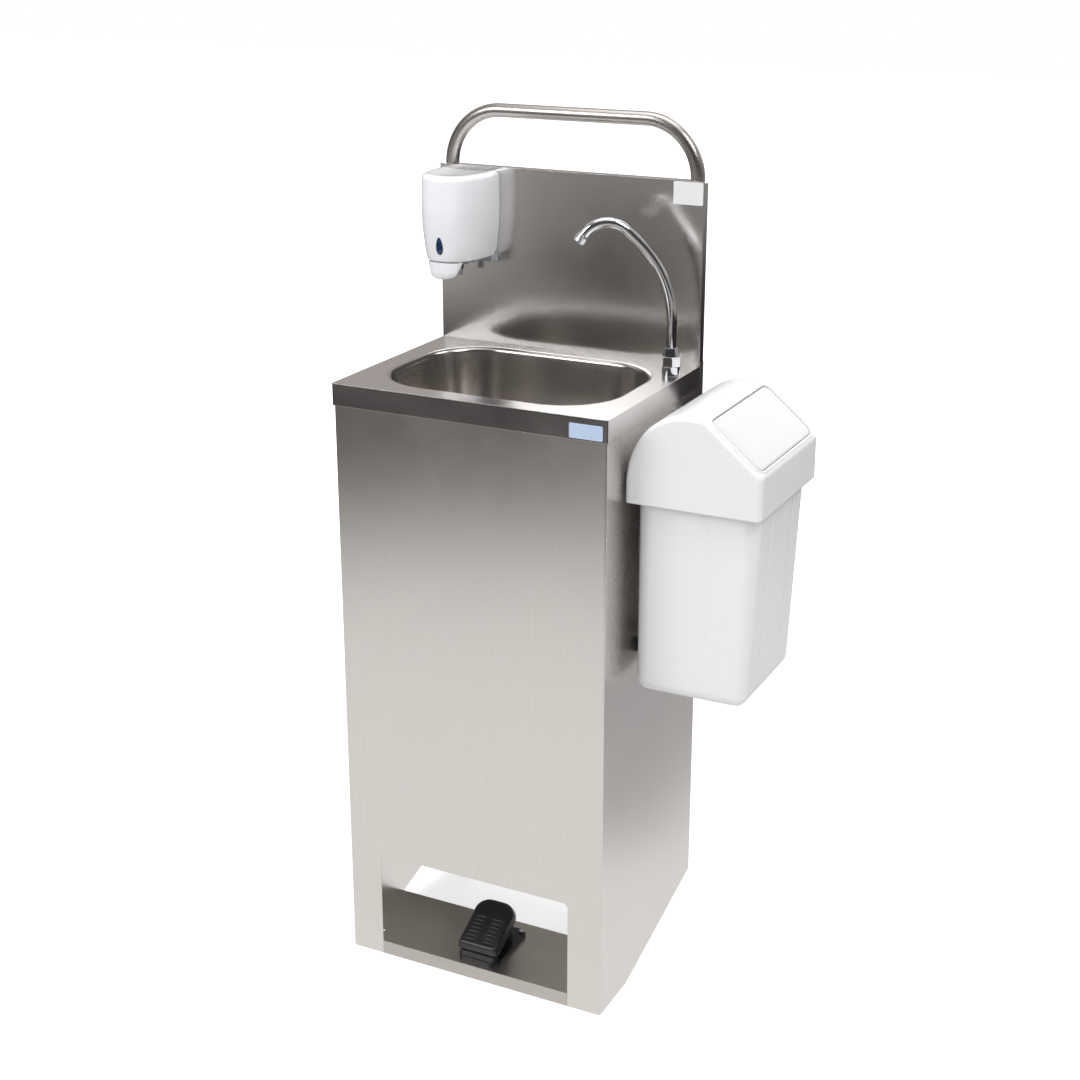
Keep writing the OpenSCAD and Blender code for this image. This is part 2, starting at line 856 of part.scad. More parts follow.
// Castor forks: a plate under the channel with two cheeks for the axle.
module castor_forks() {
    top = cross_z - fork_t;
    color("#b4b6b8") difference() {
        union() for (s = [-1, 1]) {
            translate([s * wheel_track / 2, castor_y, 0]) {
                slab([-fork_plate_w / 2, -fork_plate_l / 2, top],
                    [fork_plate_w / 2, fork_plate_l / 2, cross_z]);
                for (t = [-fork_half - fork_t, fork_half]) {
                    translate([t, 0, 0]) rotate([90, 0, 90]) linear_extrude(fork_t) {
                        translate([0, axle_z]) circle(fork_end_r);
                        polygon([[-fork_end_r, axle_z], [fork_end_r, axle_z],
                                 [fork_top_w / 2, top + fork_t / 2], [-fork_top_w / 2, top + fork_t / 2]]);
                    }
                }
            }
        }
        castor_bolt_places() rod(top - cut, fork_t + 2 * cut, bolt_d + fit_d);
        for (s = [-1, 1]) {
            rod_x([s * wheel_track / 2 - fork_half - 2 * fork_t, castor_y, axle_z],
                2 * fork_half + 4 * fork_t, axle_d + fit_d);
        }
    }
}

// Bolts with nuts that hold the castors.
module castor_bolts() {
    color("#9c9ea0") castor_bolt_places() {
        translate([0, 0, cross_z + sheet]) hexagon(bolt_af, bolt_head);
        rod(cross_z - fork_t - bolt_nut, fork_t + sheet + bolt_nut, bolt_d);
        translate([0, 0, cross_z - fork_t - bolt_nut]) hexagon(bolt_af, bolt_nut);
    }
}

// Axle bolts, one to each wheel.
module axle_bolts() {
    reach = fork_half + fork_t;
    color("#9c9ea0") for (s = [-1, 1]) {
        translate([s * wheel_track / 2, castor_y, axle_z]) along_x() {
            rod(-reach, 2 * reach, axle_d);
            translate([0, 0, reach]) hexagon(axle_af, axle_head);
            translate([0, 0, -reach - axle_head]) hexagon(axle_af, axle_head);
        }
    }
}

// Wheel hub: boss, thin web and rim.
module wheel_hub(s) {
    color("#8b9097") translate([s * wheel_track / 2, castor_y, axle_z]) along_x() difference() {
        union() {
            rod(-hub_w / 2, hub_w, hub_d);
            rod(-wheel_w * rim_web_share / 2, wheel_w * rim_web_share, rim_d);
            difference() {
                rod(-wheel_w / 2, wheel_w, rim_d);
                rod(-wheel_w, 2 * wheel_w, rim_d - 4 * fork_t);
            }
        }
        rod(-hub_w, 2 * hub_w, axle_d + fit_d);
    }
}

// Tyre: a rubber ring with a crowned tread.
module wheel_tyre(s) {
    crown = fork_t / 2;
    color("#3c3d40") translate([s * wheel_track / 2, castor_y, axle_z]) along_x() rotate_extrude()
        polygon([
            [rim_d / 2 + run_fit, -wheel_w / 2], [wheel_d / 2 - 2 * crown, -wheel_w / 2],
            [wheel_d / 2, -wheel_w / 2 + 3 * crown], [wheel_d / 2, wheel_w / 2 - 3 * crown],
            [wheel_d / 2 - 2 * crown, wheel_w / 2], [rim_d / 2 + run_fit, wheel_w / 2]
        ]);
}
module left_wheel_hub() { wheel_hub(-1); }
module left_wheel_tyre() { wheel_tyre(-1); }
module right_wheel_hub() { wheel_hub(1); }
module right_wheel_tyre() { wheel_tyre(1); }

// Waste strainer: a flange on the bowl's floor with slots, and a threaded tube below.
module waste_strainer() {
    slots = 6;
    low = bowl_floor - waste_tube_l;
    color("#d9d9d9") translate([0, bowl_mid_y, 0]) difference() {
        union() {
            rod(bowl_floor + weld_gap, 2 * sheet, waste_d);
            rod(low, waste_tube_l + sheet, waste_tube_d);
        }
        rod(low - cut, waste_tube_l + cut, waste_bore_d);
        rod(bowl_floor + weld_gap + sheet, 2 * sheet, waste_bore_d);
        for (i = [0 : slots - 1]) {
            rotate([0, 0, 360 * i / slots])
                slab([waste_slot, -waste_slot / 2, bowl_floor - cut],
                     [waste_bore_d / 2 - waste_slot / 2, waste_slot / 2, bowl_floor + 3 * sheet]);
        }
    }
}

// Rubber ring under the bowl.
module waste_gasket() {
    color("#2b2b2b") translate([0, bowl_mid_y, bowl_floor - sheet - waste_ring_t])
        pipe(waste_ring_d, waste_tube_d + fit_d, waste_ring_t - weld_gap);
}

// Locknut that draws the strainer down.
module waste_locknut() {
    color("#c2a35a") translate([0, bowl_mid_y, bowl_floor - sheet - waste_ring_t - waste_nut_h])
        hex_nut(waste_nut_af, waste_tube_d + fit_d, waste_nut_h);
}

// Tail: a cup on the strainer's tube that ends in a barb for the hose.
module waste_tail() {
    low = tail_top - waste_tail_l;
    color("#e8e6e0") translate([0, bowl_mid_y, 0]) difference() {
        union() {
            rod(low, waste_tail_l, waste_tail_d);
            rod(low - barb_l, barb_l + sheet, drain_id - fit_d);
        }
        rod(low + 2 * sheet, waste_tail_l, waste_tube_d + fit_d);
        rod(low - barb_l - cut, barb_l + 4 * sheet, drain_id - 4 * sheet);
    }
}

// Drain hose from the tail into the waste container's cap.
module drain_hose() {
    start = tail_top - waste_tail_l - weld_gap;
    low = can_top + neck_h + cap_t - 2 * barb_l;
    bend = 2 * drain_od;
    across = start - 2 * bend;
    color("#b9bcbf") tube(route_points([
        [0, bowl_mid_y, start], [0, bowl_mid_y, across],
        [cap_x[1], can_cap_y, across - bend], [cap_x[1], can_cap_y, low]
    ], bend), drain_od, drain_id, hose_sides);
}

// Tap base: a foot on the deck, a neck for the nut and a threaded shank through the deck.
module faucet_base() {
    shank_low = deck_h - tap_shank_l;
    color("#d5d7da") translate([tap_x, tap_y, 0]) difference() {
        union() {
            rod(deck_h, tap_foot_h, tap_foot_d);
            rod(deck_h, tap_foot_h + tap_neck_h, tap_neck_d);
            rod(shank_low, tap_shank_l + cut, tap_shank_d);
            rod(shank_low - barb_l, barb_l + cut, tap_bore_d - fit_d);
        }
        rod(deck_h + tap_foot_h + tap_neck_h - tap_socket_h, tap_socket_h + cut, spout_d + fit_d);
        rod(shank_low - barb_l - cut, deck_h, tap_bore_d - 2 * spout_wall);
    }
}

// Rubber washer under the deck.
module faucet_washer() {
    color("#2b2b2b") translate([tap_x, tap_y, deck_under - tap_washer_t])
        pipe(tap_washer_d - tap_washer_t, tap_shank_d + fit_d, tap_washer_t - weld_gap / 2);
}

// Locknut on the shank.
module faucet_locknut() {
    color("#c2a35a") translate([tap_x, tap_y, deck_under - tap_washer_t - tap_locknut_h])
        hex_nut(tap_locknut_af, tap_shank_d + fit_d, tap_locknut_h);
}

// The spout's plane: +X towards the bowl, the tap's axis at x = 0.
module spout_plane() {
    translate([tap_x, tap_y, 0]) rotate([0, 0, 180 + spout_turn]) children();
}

// Points of the spout's run in its plane.
function spout_bend_end() = [
    spout_long_r * (1 - cos(spout_long_turn)),
    spout_bend_z + spout_long_r * sin(spout_long_turn)
];
function spout_top_start() = spout_bend_end() + spout_middle * [sin(spout_long_turn), cos(spout_long_turn)];
function spout_top_middle() = spout_top_start() + spout_top_r * [cos(spout_long_turn),
    -sin(spout_long_turn)];
function spout_end_angle() = 180 - spout_long_turn - spout_top_turn;
function spout_tip() = spout_top_middle() + spout_top_r * [cos(spout_end_angle()), sin(spout_end_angle())];

// Places children at the spout's end, pointing out of it.
module at_tip() {
    translate([spout_tip()[0], 0, spout_tip()[1]]) rotate([0, 180 - spout_end_angle(), 0]) children();
}

// Spout: a swan-neck tube that turns in the tap base.
module spout() {
    end = spout_end_angle();
    middle = spout_top_middle();
    steps = [ceil(spout_long_turn / bend_step), ceil(spout_top_turn / bend_step)];
    color("#dfe1e4") spout_plane() tube([
        [0, 0, spout_base_z],
        each [for (i = [0 : steps[0]])
            let (w = 180 - spout_long_turn * i / steps[0])
            [spout_long_r * (1 + cos(w)), 0, spout_bend_z + spout_long_r * sin(w)]],
        each [for (i = [0 : steps[1]])
            let (w = end + spout_top_turn * (1 - i / steps[1]))
            [middle[0] + spout_top_r * cos(w), 0, middle[1] + spout_top_r * sin(w)]],
        [spout_tip()[0] + spout_nose * sin(end), 0, spout_tip()[1] - spout_nose * cos(end)]
    ], spout_d, spout_d - 2 * spout_wall, tube_sides);
}

// Gland nut: a hexagon with a cone above it.
module spout_nut() {
    low = deck_h + tap_foot_h + weld_gap;
    color("#d5d7da") translate([tap_x, tap_y, low]) difference() {
        union() {
            hexagon(tap_nut_af, tap_nut_h);
            translate([0, 0, tap_nut_h]) cylinder(h = tap_cone_h, d1 = tap_nut_af, d2 = tap_cone_d);
        }
        rod(-cut, tap_neck_h + 2 * cut, tap_neck_d + fit_d);
        rod(-cut, tap_nut_h + tap_cone_h + 2 * cut, spout_d + seat);
    }
}

// Aerator shell on the spout's end.
module aerator_shell() {
    color("#dfe1e4") spout_plane() at_tip() translate([0, 0, spout_nose - aerator_cap]) difference() {
        rod(0, aerator_l, aerator_d);
        rod(-cut, aerator_l + 2 * cut, spout_d + fit_d);
    }
}

// Aerator insert: a perforated disc inside the shell.
module aerator_insert() {
    d = spout_d - fit_d;
    h = aerator_l - aerator_cap - 2 * sheet;
    color("#e9e9e4") spout_plane() at_tip() translate([0, 0, spout_nose + weld_gap]) difference() {
        rod(0, h, d);
        for (k = [0, aerator_share], a = [0 : 60 : k > 0 ? 300 : 0]) {
            rotate([0, 0, a]) rod_z([k * d, 0, -cut], h + 2 * cut, aerator_hole_d);
        }
    }
}

function pump_screw_places() = [for (s = [-1, 1], y = [pump_front + pump_l - pump_screw_inset])
    [s * (pump_w / 2 - pump_screw_inset), y]];

// Pump base: plate, lip, pivot ears, bellows cup and two ports under the floor plate.
module pump_base() {
    z0 = sill_h;
    ear_x = treadle_w / 2 - treadle_wall - ear_gap;
    color("#232325") difference() {
        union() {
            translate([0, pump_front + pump_l / 2, z0]) linear_extrude(pump_plate_t)
                rounded_rect(pump_w, pump_l, pump_r);
            translate([0, pump_front + pump_r / 2 + treadle_wall / 2, z0]) linear_extrude(pump_lip_h)
                rounded_rect(pump_w - 2 * pump_r / 3, pump_r, pump_r / 2 - cut);
            rod_z([0, cup_y, z0], pump_plate_t + cup_h, cup_d);
            for (s = [-1, 1]) {
                slab([s * ear_x, pivot_y - pivot_ear_w / 4, z0],
                     [s * (ear_x - pivot_ear_t), pivot_y + pivot_ear_w / 2, pivot_z]);
                rod_x([min(s * ear_x, s * (ear_x - pivot_ear_t)), pivot_y, pivot_z], pivot_ear_t,
                    pivot_ear_w);
                rod_z([s * port_x, cup_y, port_z - port_block / 2], z0 + cut - port_z + port_block / 2,
                    port_block);
                rod_x([s * (port_x + port_l / 2) - port_l / 2, cup_y, port_z], port_l, port_d - fit_d);
            }
        }
        rod_z([0, cup_y, z0 + pump_plate_t], 2 * cup_h + cut, bellows_d + seat);
        rod_x([-pump_w, pivot_y, pivot_z], 2 * pump_w, pivot_d + fit_d);
        for (s = [-1, 1]) {
            rod_z([s * port_x, cup_y, port_z], z0 + pump_plate_t + cut - port_z, port_bore);
            rod_x([s * (port_x + port_l / 2) - port_l / 2, cup_y, port_z], port_l, port_bore);
            rod_x([s * (port_x + port_l) - cut, cup_y, port_z], 2 * cut, port_bore);
        }
        for (p = pump_screw_places()) {
            rod_z([p[0], p[1], z0 - cut], pump_plate_t + 2 * cut, pump_screw_d + fit_d);
        }
    }
}

// The treadle's own frame: the pivot at the origin, +Y up the slope.
module treadle_frame() {
    translate([0, pivot_y, pivot_z]) rotate([tilt, 0, 0]) children();
}

// The treadle's plan: square at the heel and round at the toe.
module treadle_plan(inset) {
    w = treadle_w - 2 * inset;
    low = -treadle_nose + inset;
    high = treadle_l - treadle_nose - inset;
    r0 = treadle_front_r - inset / 2;
    r1 = treadle_end_r - inset;
    for (s = [-1, 1]) {
        translate([s * (w / 2 - r0), low + r0]) circle(r0);
        translate([s * (w / 2 - r1), high - r1]) circle(r1);
    }
    translate([-w / 2, low + r0]) square([w, high - r1 - low - r0]);
    translate([-w / 2 + r1, low]) square([w - 2 * r1, high - low]);
    translate([-w / 2 + r0, low]) square([w - 2 * r0, (high - low) / 2]);
}

// Treadle: a ribbed cap that the toe presses down.
module pump_treadle() {
    top = pivot_drop + treadle_t;
    ball_y = cup_y - pivot_y;
    ball_z = bellows_low + bellows_h + seat + pusher_d / 2 - pivot_z;
    ball_up = ball_z * cos(tilt) - ball_y * sin(tilt);
    color("#1c1c1e") treadle_frame()
        translate([0, ball_y * cos(tilt) + ball_z * sin(tilt), ball_up]) {
            sphere(d = pusher_d);
            rod(0, pivot_drop + cut - ball_up, pusher_d);
        }
    color("#1c1c1e") difference() {
        treadle_frame() difference() {
            union() {
                translate([0, 0, top - treadle_skirt]) linear_extrude(treadle_skirt) treadle_plan(0);
                for (s = [-1, 1], i = [0 : rib_count - 1]) {
                    translate([s * (treadle_w / 2 - rib_inset - rib_w / 2),
                        rib_first + i * rib_pitch - treadle_nose,
                               top]) cube([rib_w, rib_t, 2 * rib_h], center = true);
                }
            }
            translate([0, 0, top - treadle_skirt - cut]) linear_extrude(treadle_skirt - treadle_t + cut)
                treadle_plan(treadle_wall);
            rod_x([-treadle_w, 0, 0], 2 * treadle_w, pivot_d + fit_d);
            translate([0, -treadle_nose, top - treadle_skirt]) rotate([-tilt, 0, 0])
                slab([-treadle_w, -treadle_l, -treadle_skirt], [treadle_w, treadle_nose, treadle_wall]);
        }
        slab([-treadle_w, pump_front - treadle_l, 0],
            [treadle_w, pump_front + pump_l, sill_h + pump_lip_h + move_gap]);
    }
}

// Pivot pin of the treadle.
module pump_pivot_pin() {
    color("#8f9194") rod_x([-treadle_w / 2 + cut / 2, pivot_y, pivot_z], treadle_w - cut, pivot_d);
}

// Bellows: pleated rubber between the cup and the treadle.
module pump_bellows() {
    pleat = bellows_h / bellows_pleats;
    outline = [for (i = [0 : bellows_pleats - 1]) each [
        [bellows_neck / 2, i * pleat], [bellows_d / 2, i * pleat + pleat / 3],
        [bellows_d / 2, i * pleat + pleat / 2]
    ]];
    top = [[bellows_neck / 2, bellows_h], [0, bellows_h], [0, bellows_h - bellows_wall],
           [bellows_neck / 2 - bellows_wall, bellows_h - bellows_wall]];
    back = [for (i = [len(outline) - 1 : -1 : 0]) outline[i] - [bellows_wall, 0]];
    color("#2a2a2c") translate([0, cup_y, bellows_low]) rotate_extrude()
        polygon(concat(outline, top, back));
}

// Return spring inside the bellows.
module pump_spring() {
    color("#a9adb2") translate([0, cup_y, bellows_low])
        coil(spring_d, spring_wire, spring_turns, bellows_h - bellows_wall - spring_wire - weld_gap);
}

// Screws that hold the pump to the floor plate.
module pump_screws() {
    color("#a9adb2") for (p = pump_screw_places()) {
        rod_z([p[0], p[1], sill_h - sheet - pump_screw_h], sheet + pump_screw_h + pump_plate_t,
            pump_screw_d);
        rod_z([p[0], p[1], sill_h + pump_plate_t], pump_screw_h, pump_screw_head);
        translate([p[0], p[1], sill_h - sheet - pump_screw_h]) hexagon(pump_screw_head, pump_screw_h);
    }
}

// A hose from the pump, under the floor plate and up behind the front.
module pump_hose(s, last) {
    color("#d6dadd") tube(route_points(concat([
        [s * (port_x + port_block), cup_y, port_z], [s * hose_turn, cup_y, port_z],
        [s * (riser[0] - riser_run), riser[1], port_z], [s * riser[0], riser[1], port_z],
        [s * riser[0], riser[1], suction_top]
    ], last), hose_bend), hose_od, port_d, hose_sides);
}

// Suction hose from the clean container to the pump.
module suction_hose() {
    pump_hose(-1, [[cap_x[0], can_cap_y, suction_top], [cap_x[0], can_cap_y, can_floor + can_h / 4]]);
}

// Delivery hose from the pump to the tap.
module delivery_hose() {
    pump_hose(1, [[tap_x, tap_y, suction_top + 3 * hose_bend],
                  [tap_x, tap_y, deck_h - tap_shank_l - barb_l / 4]]);
}

// A worm clip round a hose: a band with a housing for its screw.
module hose_clip(d) {
    pipe(d + 2 * clip_t, d + fit_d, clip_w);
    translate([d / 2 + clip_t / 2, -clip_ear / 2, 0]) cube([clip_ear, clip_ear, clip_w]);
}

// Clips at the tap, the pump and the waste tail.
module hose_clips() {
    color("#b8bbbe") {
        translate([tap_x, tap_y, deck_h - tap_shank_l - barb_l]) rotate([0, 0, 180]) hose_clip(hose_od);
        for (s = [-1, 1]) {
            translate([s * (port_x + port_block + clip_w) - clip_w / 2, cup_y, port_z]) along_x()
                rotate([0, 0, 90]) hose_clip(hose_od);
        }
        translate([0, bowl_mid_y, tail_top - waste_tail_l - barb_l + clip_w / 2]) hose_clip(drain_od);
    }
}

// One container about its middle: a hollow body with a neck and a grip over its top.
module jerrycan(x) {
    grip_x = x - can_grip_shift;
    difference() {
        union() {
            translate([x, can_y, can_floor]) linear_extrude(can_h)
                rounded_rect(can_w, can_d, can_r);
            rod_z([x - can_cap_shift, can_cap_y, can_top - can_wall], neck_h + can_wall, neck_d);
            for (t = [-1, 1]) {
                translate([grip_x, can_y + t * (can_grip_l - can_grip_post) / 2,
                    can_top + can_grip_h / 2 - can_wall])
                    cube([can_grip_w, can_grip_post, can_grip_h], center = true);
            }
            translate([grip_x, can_y, can_top + can_grip_h - can_wall - can_grip_bar / 2])
                cube([can_grip_w, can_grip_l, can_grip_bar], center = true);
        }
        translate([x, can_y, can_floor + can_wall]) linear_extrude(can_h - 2 * can_wall)
            rounded_rect(can_w - 2 * can_wall, can_d - 2 * can_wall, can_r - can_wall);
        rod_z([x - can_cap_shift, can_cap_y, can_top - 2 * can_wall], neck_h + 3 * can_wall, neck_bore);
    }
}
module clean_jerrycan() {
    color("#dfe6ea") jerrycan(-can_x);
}
module waste_jerrycan() {
    color("#c9ccce") jerrycan(can_x);
}

// A screw cap with a hole for its hose.
module screw_cap(x, bore) {
    low = can_top + neck_h + cap_t - cap_h;
    translate([x, can_cap_y, low]) difference() {
        union() {
            rod(0, cap_h, cap_d);
            for (i = [0 : cap_grips - 1]) {
                rotate([0, 0, 360 * i / cap_grips]) translate([cap_d / 2, 0, 0])
                    cylinder(h = cap_h, d = cap_t / 2, $fn = 16);
            }
        }
        rod(-cut, cap_h - cap_t + cut, neck_d + fit_d);
        rod(-cut, cap_h + 2 * cut, bore);
    }
}
module clean_cap() {
    color("#2f66a8") screw_cap(cap_x[0], hose_od + seat);
}
module waste_cap() {
    color("#4a4d50") screw_cap(cap_x[1], drain_od + seat);
}

// The dispenser's plan: a wide round front against a flat back.
function soap_plan(w, d) = [for (i = [0 : soap_points])
    let (a = 180 * i / soap_points)
    [w / 2 * sign(cos(a)) * pow(abs(cos(a)), 2 / soap_power), -d * pow(sin(a), 2 / soap_power)]];

// A filled form of the dispenser between two heights, with its top rounded over.
module soap_form(z0, z1) {
    translate([soap_x, splash_face, 0]) hull() {
        translate([0, 0, z0]) linear_extrude(z1 - soap_dome - z0) polygon(soap_plan(soap_w, soap_d));
        for (k = soap_dome_share) {
            translate([0, 0, z1 - soap_dome * (1 - k[0]) - thin]) linear_extrude(thin)
                polygon(soap_plan(soap_w - 2 * soap_dome * k[1], soap_d - soap_dome * k[1]));
        }
    }
}

// The room inside the dispenser, drawn in by a wall.
module soap_room(wall, z0, z1) {
    translate([soap_x, splash_face, z0]) linear_extrude(z1 - z0)
        polygon(soap_plan(soap_w - 2 * wall, soap_d - wall));
}

function soap_screw_places() = [for (s = [-1, 1]) [soap_x + s * soap_w / 4, soap_top - soap_h / 4]];

// Dispenser's back plate, with hinge ears and an arm for the reservoir.
module soap_back_plate() {
    half = soap_w / 2 - soap_plate_in;
    front = splash_face - back_t;
    ear_out = soap_w / 2 - soap_wall - soap_ear_t - move_gap;
    color("#b9bcc0") difference() {
        union() {
            slab([soap_x - half, front, cover_z], [soap_x + half, splash_face, soap_top - soap_dome]);
            slab([soap_x - res_w / 2, front - res_d, res_z - 2 * back_t],
                 [soap_x + res_w / 2, front, res_z - back_t]);
            for (s = [-1, 1]) {
                x = soap_x + s * ear_out;
                slab([x, hinge_y - soap_ear_w / 2, hinge_z - soap_ear_w / 2],
                     [x - s * soap_ear_t, splash_face, hinge_z + soap_ear_w / 2]);
            }
        }
        rod_x([soap_x - soap_w, hinge_y, hinge_z], 2 * soap_w, soap_pin_d + fit_d);
        for (p = soap_screw_places()) {
            rod_y([p[0], front - cut, p[1]], back_t + 2 * cut, soap_screw_d + fit_d);
        }
        rod_z([soap_x, splash_face - back_t - res_d / 2, res_z - 2 * back_t - cut],
            back_t + 2 * cut, soap_nozzle_d + 4 * seat);
    }
}

// Cover: a shell that swings forward and down on its two hinge pins.
module soap_cover() {
    window_y = splash_face - soap_d;
    color("#f2f3f5") difference() {
        union() {
            difference() {
                soap_form(cover_z, soap_top);
                soap_room(soap_wall, cover_z - cut, soap_top - soap_dome);
                soap_room(soap_wall + soap_dome, cover_z, soap_top - soap_wall);
                slab([soap_x - soap_w, splash_face - seat, cover_z - cut],
                    [soap_x + soap_w, splash_face + cut, soap_top + cut]);
            }
            intersection() {
                soap_room(soap_wall / 2, cover_z, soap_top);
                for (s = [-1, 1]) {
                    x = soap_x + s * (lever_w / 2 + lever_gap + soap_ear_t / 2);
                    slab([x - soap_ear_t / 2, splash_face - soap_d, lever_pin_z - soap_ear_w / 2],
                         [x + soap_ear_t / 2, lever_pin_y + soap_ear_w / 2, lever_pin_z + soap_ear_w / 2]);
                }
            }
        }
        // Room for the cover to turn clear of the splashback.
        slab([soap_x - soap_w, hinge_y + soap_wall, cover_z - cut],
            [soap_x + soap_w, splash_face + cut, hinge_z]);
        translate([soap_x - window_w / 2, window_y - cut, window_z]) cube([window_w, lever_arm, window_h]);
        rod_x([soap_x - soap_w, hinge_y, hinge_z], 2 * soap_w, soap_pin_d + fit_d);
        rod_x([soap_x - lever_w / 2 - lever_gap - 2 * soap_ear_t, lever_pin_y, lever_pin_z],
            lever_w + 2 * lever_gap + 4 * soap_ear_t, soap_pin_d + fit_d);
        rod_z([soap_x, splash_face - lock_d, soap_top - soap_dome], 2 * soap_dome, lock_d / 2 + fit_d);
    }
}

// Drop-shaped window in the cover, here a plain pane behind the wall.
module soap_window() {
    y = splash_face - soap_d + soap_wall / 2;
    color("#27405f") translate([soap_x - window_w / 2 + run_fit, y, window_z + run_fit])
        cube([window_w - fit_d, window_t, window_h - fit_d]);
}

// Push lever: a curved plate on two arms, with stub pins and a finger for the plunger.
module soap_lever() {
    y0 = splash_face - soap_d;
    low = cover_z - lever_drop;
    high = cover_z - lever_gap;
    color("#eceef0") {
        intersection() {
            soap_room(0, low, high);
            union() {
                difference() {
                    slab([soap_x - lever_w / 2, y0 - cut, low], [soap_x + lever_w / 2, lever_pin_y, high]);
                    soap_room(lever_t, low - cut, high + cut);
                }
                for (s = [-1, 1]) {
                    x = soap_x + s * (lever_w / 2 - soap_ear_t / 2);
                    slab([x - soap_ear_t / 2, y0, high - lever_foot],
                         [x + soap_ear_t / 2, lever_pin_y + lever_arm / 2, high]);
                }
                slab([soap_x - finger_w / 2, y0 + lever_t / 2, high - finger_h],
                     [soap_x + finger_w / 2, lever_pin_y + lever_arm / 2 - 2 * lever_gap, high]);
            }
        }
        for (s = [-1, 1]) {
            x = soap_x + s * (lever_w / 2 - soap_ear_t / 2);
            slab([x - soap_ear_t / 2, lever_pin_y - lever_arm / 2, high - lever_foot],
                 [x + soap_ear_t / 2, lever_pin_y + lever_arm / 2, lever_pin_z + soap_ear_w / 2]);
        }
        slab([soap_x - finger_w / 2, lever_pin_y - lever_arm / 2, high - finger_h / 2],
             [soap_x + finger_w / 2, lever_pin_y + lever_arm / 2 - lever_gap, dose_z + finger_h / 2]);
        rod_x([soap_x - lever_w / 2 - lever_gap - soap_ear_t, lever_pin_y, lever_pin_z],
            lever_w + 2 * lever_gap + 2 * soap_ear_t, soap_pin_d);
    }
}

// Pins of the cover's hinge.
module soap_pins() {
    color("#8f9194") for (s = [-1, 1]) {
        out = soap_x + s * (soap_w / 2 - soap_wall / 2);
        rod_x([min(out, out - s * soap_pin_l), hinge_y, hinge_z], soap_pin_l, soap_pin_d);
    }
}

// Reservoir: a bottle on the back plate's arm, with a mouth on top.
module soap_reservoir() {
    color("#e4e8e4") translate([soap_x, splash_face - back_t - res_d / 2 - seat,
        res_z - back_t + weld_gap]) difference() {
        linear_extrude(res_h) rounded_rect(res_w, res_d, res_r);
        translate([0, 0, res_wall]) linear_extrude(res_h - 2 * res_wall)
            rounded_rect(res_w - 2 * res_wall, res_d - 2 * res_wall, res_r - res_wall);
        rod(res_wall + cut, res_h, res_fill_d);
    }
}

// Dosing pump below the reservoir.
module soap_pump() {
    y1 = splash_face - back_t - weld_gap;
    mid = splash_face - back_t - res_d / 2;
    color("#d8dcdf") difference() {
        union() {
            rod_y([soap_x, y1 - dose_l, dose_z], dose_l, dose_d);
            rod_z([soap_x, mid, dose_z], res_z - 2 * back_t - dose_z - weld_gap,
                soap_nozzle_d + 4 * seat);
            rod_z([soap_x, mid, dose_z - dose_d / 2 - soap_nozzle_drop],
                soap_nozzle_drop + dose_d / 2, soap_nozzle_d);
        }
        rod_y([soap_x, y1 - dose_l - cut, dose_z], plunger_in + lever_foot + cut,
            plunger_d + fit_d);
        rod_z([soap_x, mid, dose_z - dose_d / 2 - soap_nozzle_drop - cut],
            soap_nozzle_drop + cut, soap_nozzle_d / 2);
    }
}

// Plunger that the lever pushes into the dosing pump.
module soap_plunger() {
    y1 = splash_face - back_t - weld_gap - dose_l;
    color("#b9bdc1") translate([soap_x, plunger_y, dose_z]) along_y() {
        rod(0, y1 + plunger_in - plunger_y, plunger_d);
        rod(0, plunger_head_t, plunger_head);
    }
}

// Screws that hold the back plate to the splashback.
module soap_screws() {
    color("#a9adb2") for (p = soap_screw_places()) {
        translate([p[0], splash_face - back_t - soap_screw_t, p[1]]) along_y() {
            rod(0, soap_screw_t, soap_screw_head);
            rod(0, soap_screw_t + back_t + sheet, soap_screw_d);
        }
    }
}

// Lock barrel in the cover's top.
module soap_lock() {
    color("#c9ccd0") translate([soap_x, splash_face - lock_d, soap_top - lock_t]) difference() {
        union() {
            rod(0, lock_t - weld_gap, lock_d / 2);
            rod(-lock_t, lock_t, lock_d / 2);
        }
        translate([0, 0, lock_t]) cube([lock_key, sheet / 2, 2 * lock_t / 3], center = true);
    }
}

function rivet_places() = [for (s = [-1, 1], k = rivet_share)
    [bucket_y + s * (bracket_l / 2 - rivet_head * rivet_in_share), bracket_top - bracket_h * k]];

// Bracket on the cabinet's side: a plate with an upturned hook along its foot.
module bin_bracket() {
    x0 = cabinet_w / 2;
    y0 = bucket_y - bracket_l / 2;
    low = bracket_top - bracket_h;
    hook_x = x0 + bracket_t + hook_reach;
    color("#9ea0a3") difference() {
        union() {
            slab([x0, y0, low], [x0 + bracket_t, y0 + bracket_l, bracket_top]);
            slab([x0, bucket_y - lug_l / 2, low],
                [hook_x + bracket_t, bucket_y + lug_l / 2, low + bracket_t]);
            slab([hook_x, bucket_y - lug_l / 2, low],
                [hook_x + bracket_t, bucket_y + lug_l / 2, low + hook_h]);
        }
        for (p = rivet_places()) {
            rod_x([x0 - cut, p[0], p[1]], bracket_t + 2 * cut, rivet_d + fit_d);
        }
    }
}

// Blind rivets through the bracket and the cabinet's side.
module bin_rivets() {
    color("#b4b6b8") for (p = rivet_places()) {
        translate([cabinet_w / 2 - sheet - rivet_t, p[0], p[1]]) along_x() {
            rod(0, sheet + 2 * rivet_t + bracket_t, rivet_d);
            rod(0, rivet_t, rivet_d * rivet_tail_share);
            rod(sheet + rivet_t + bracket_t, rivet_t, rivet_head);
        }
    }
}

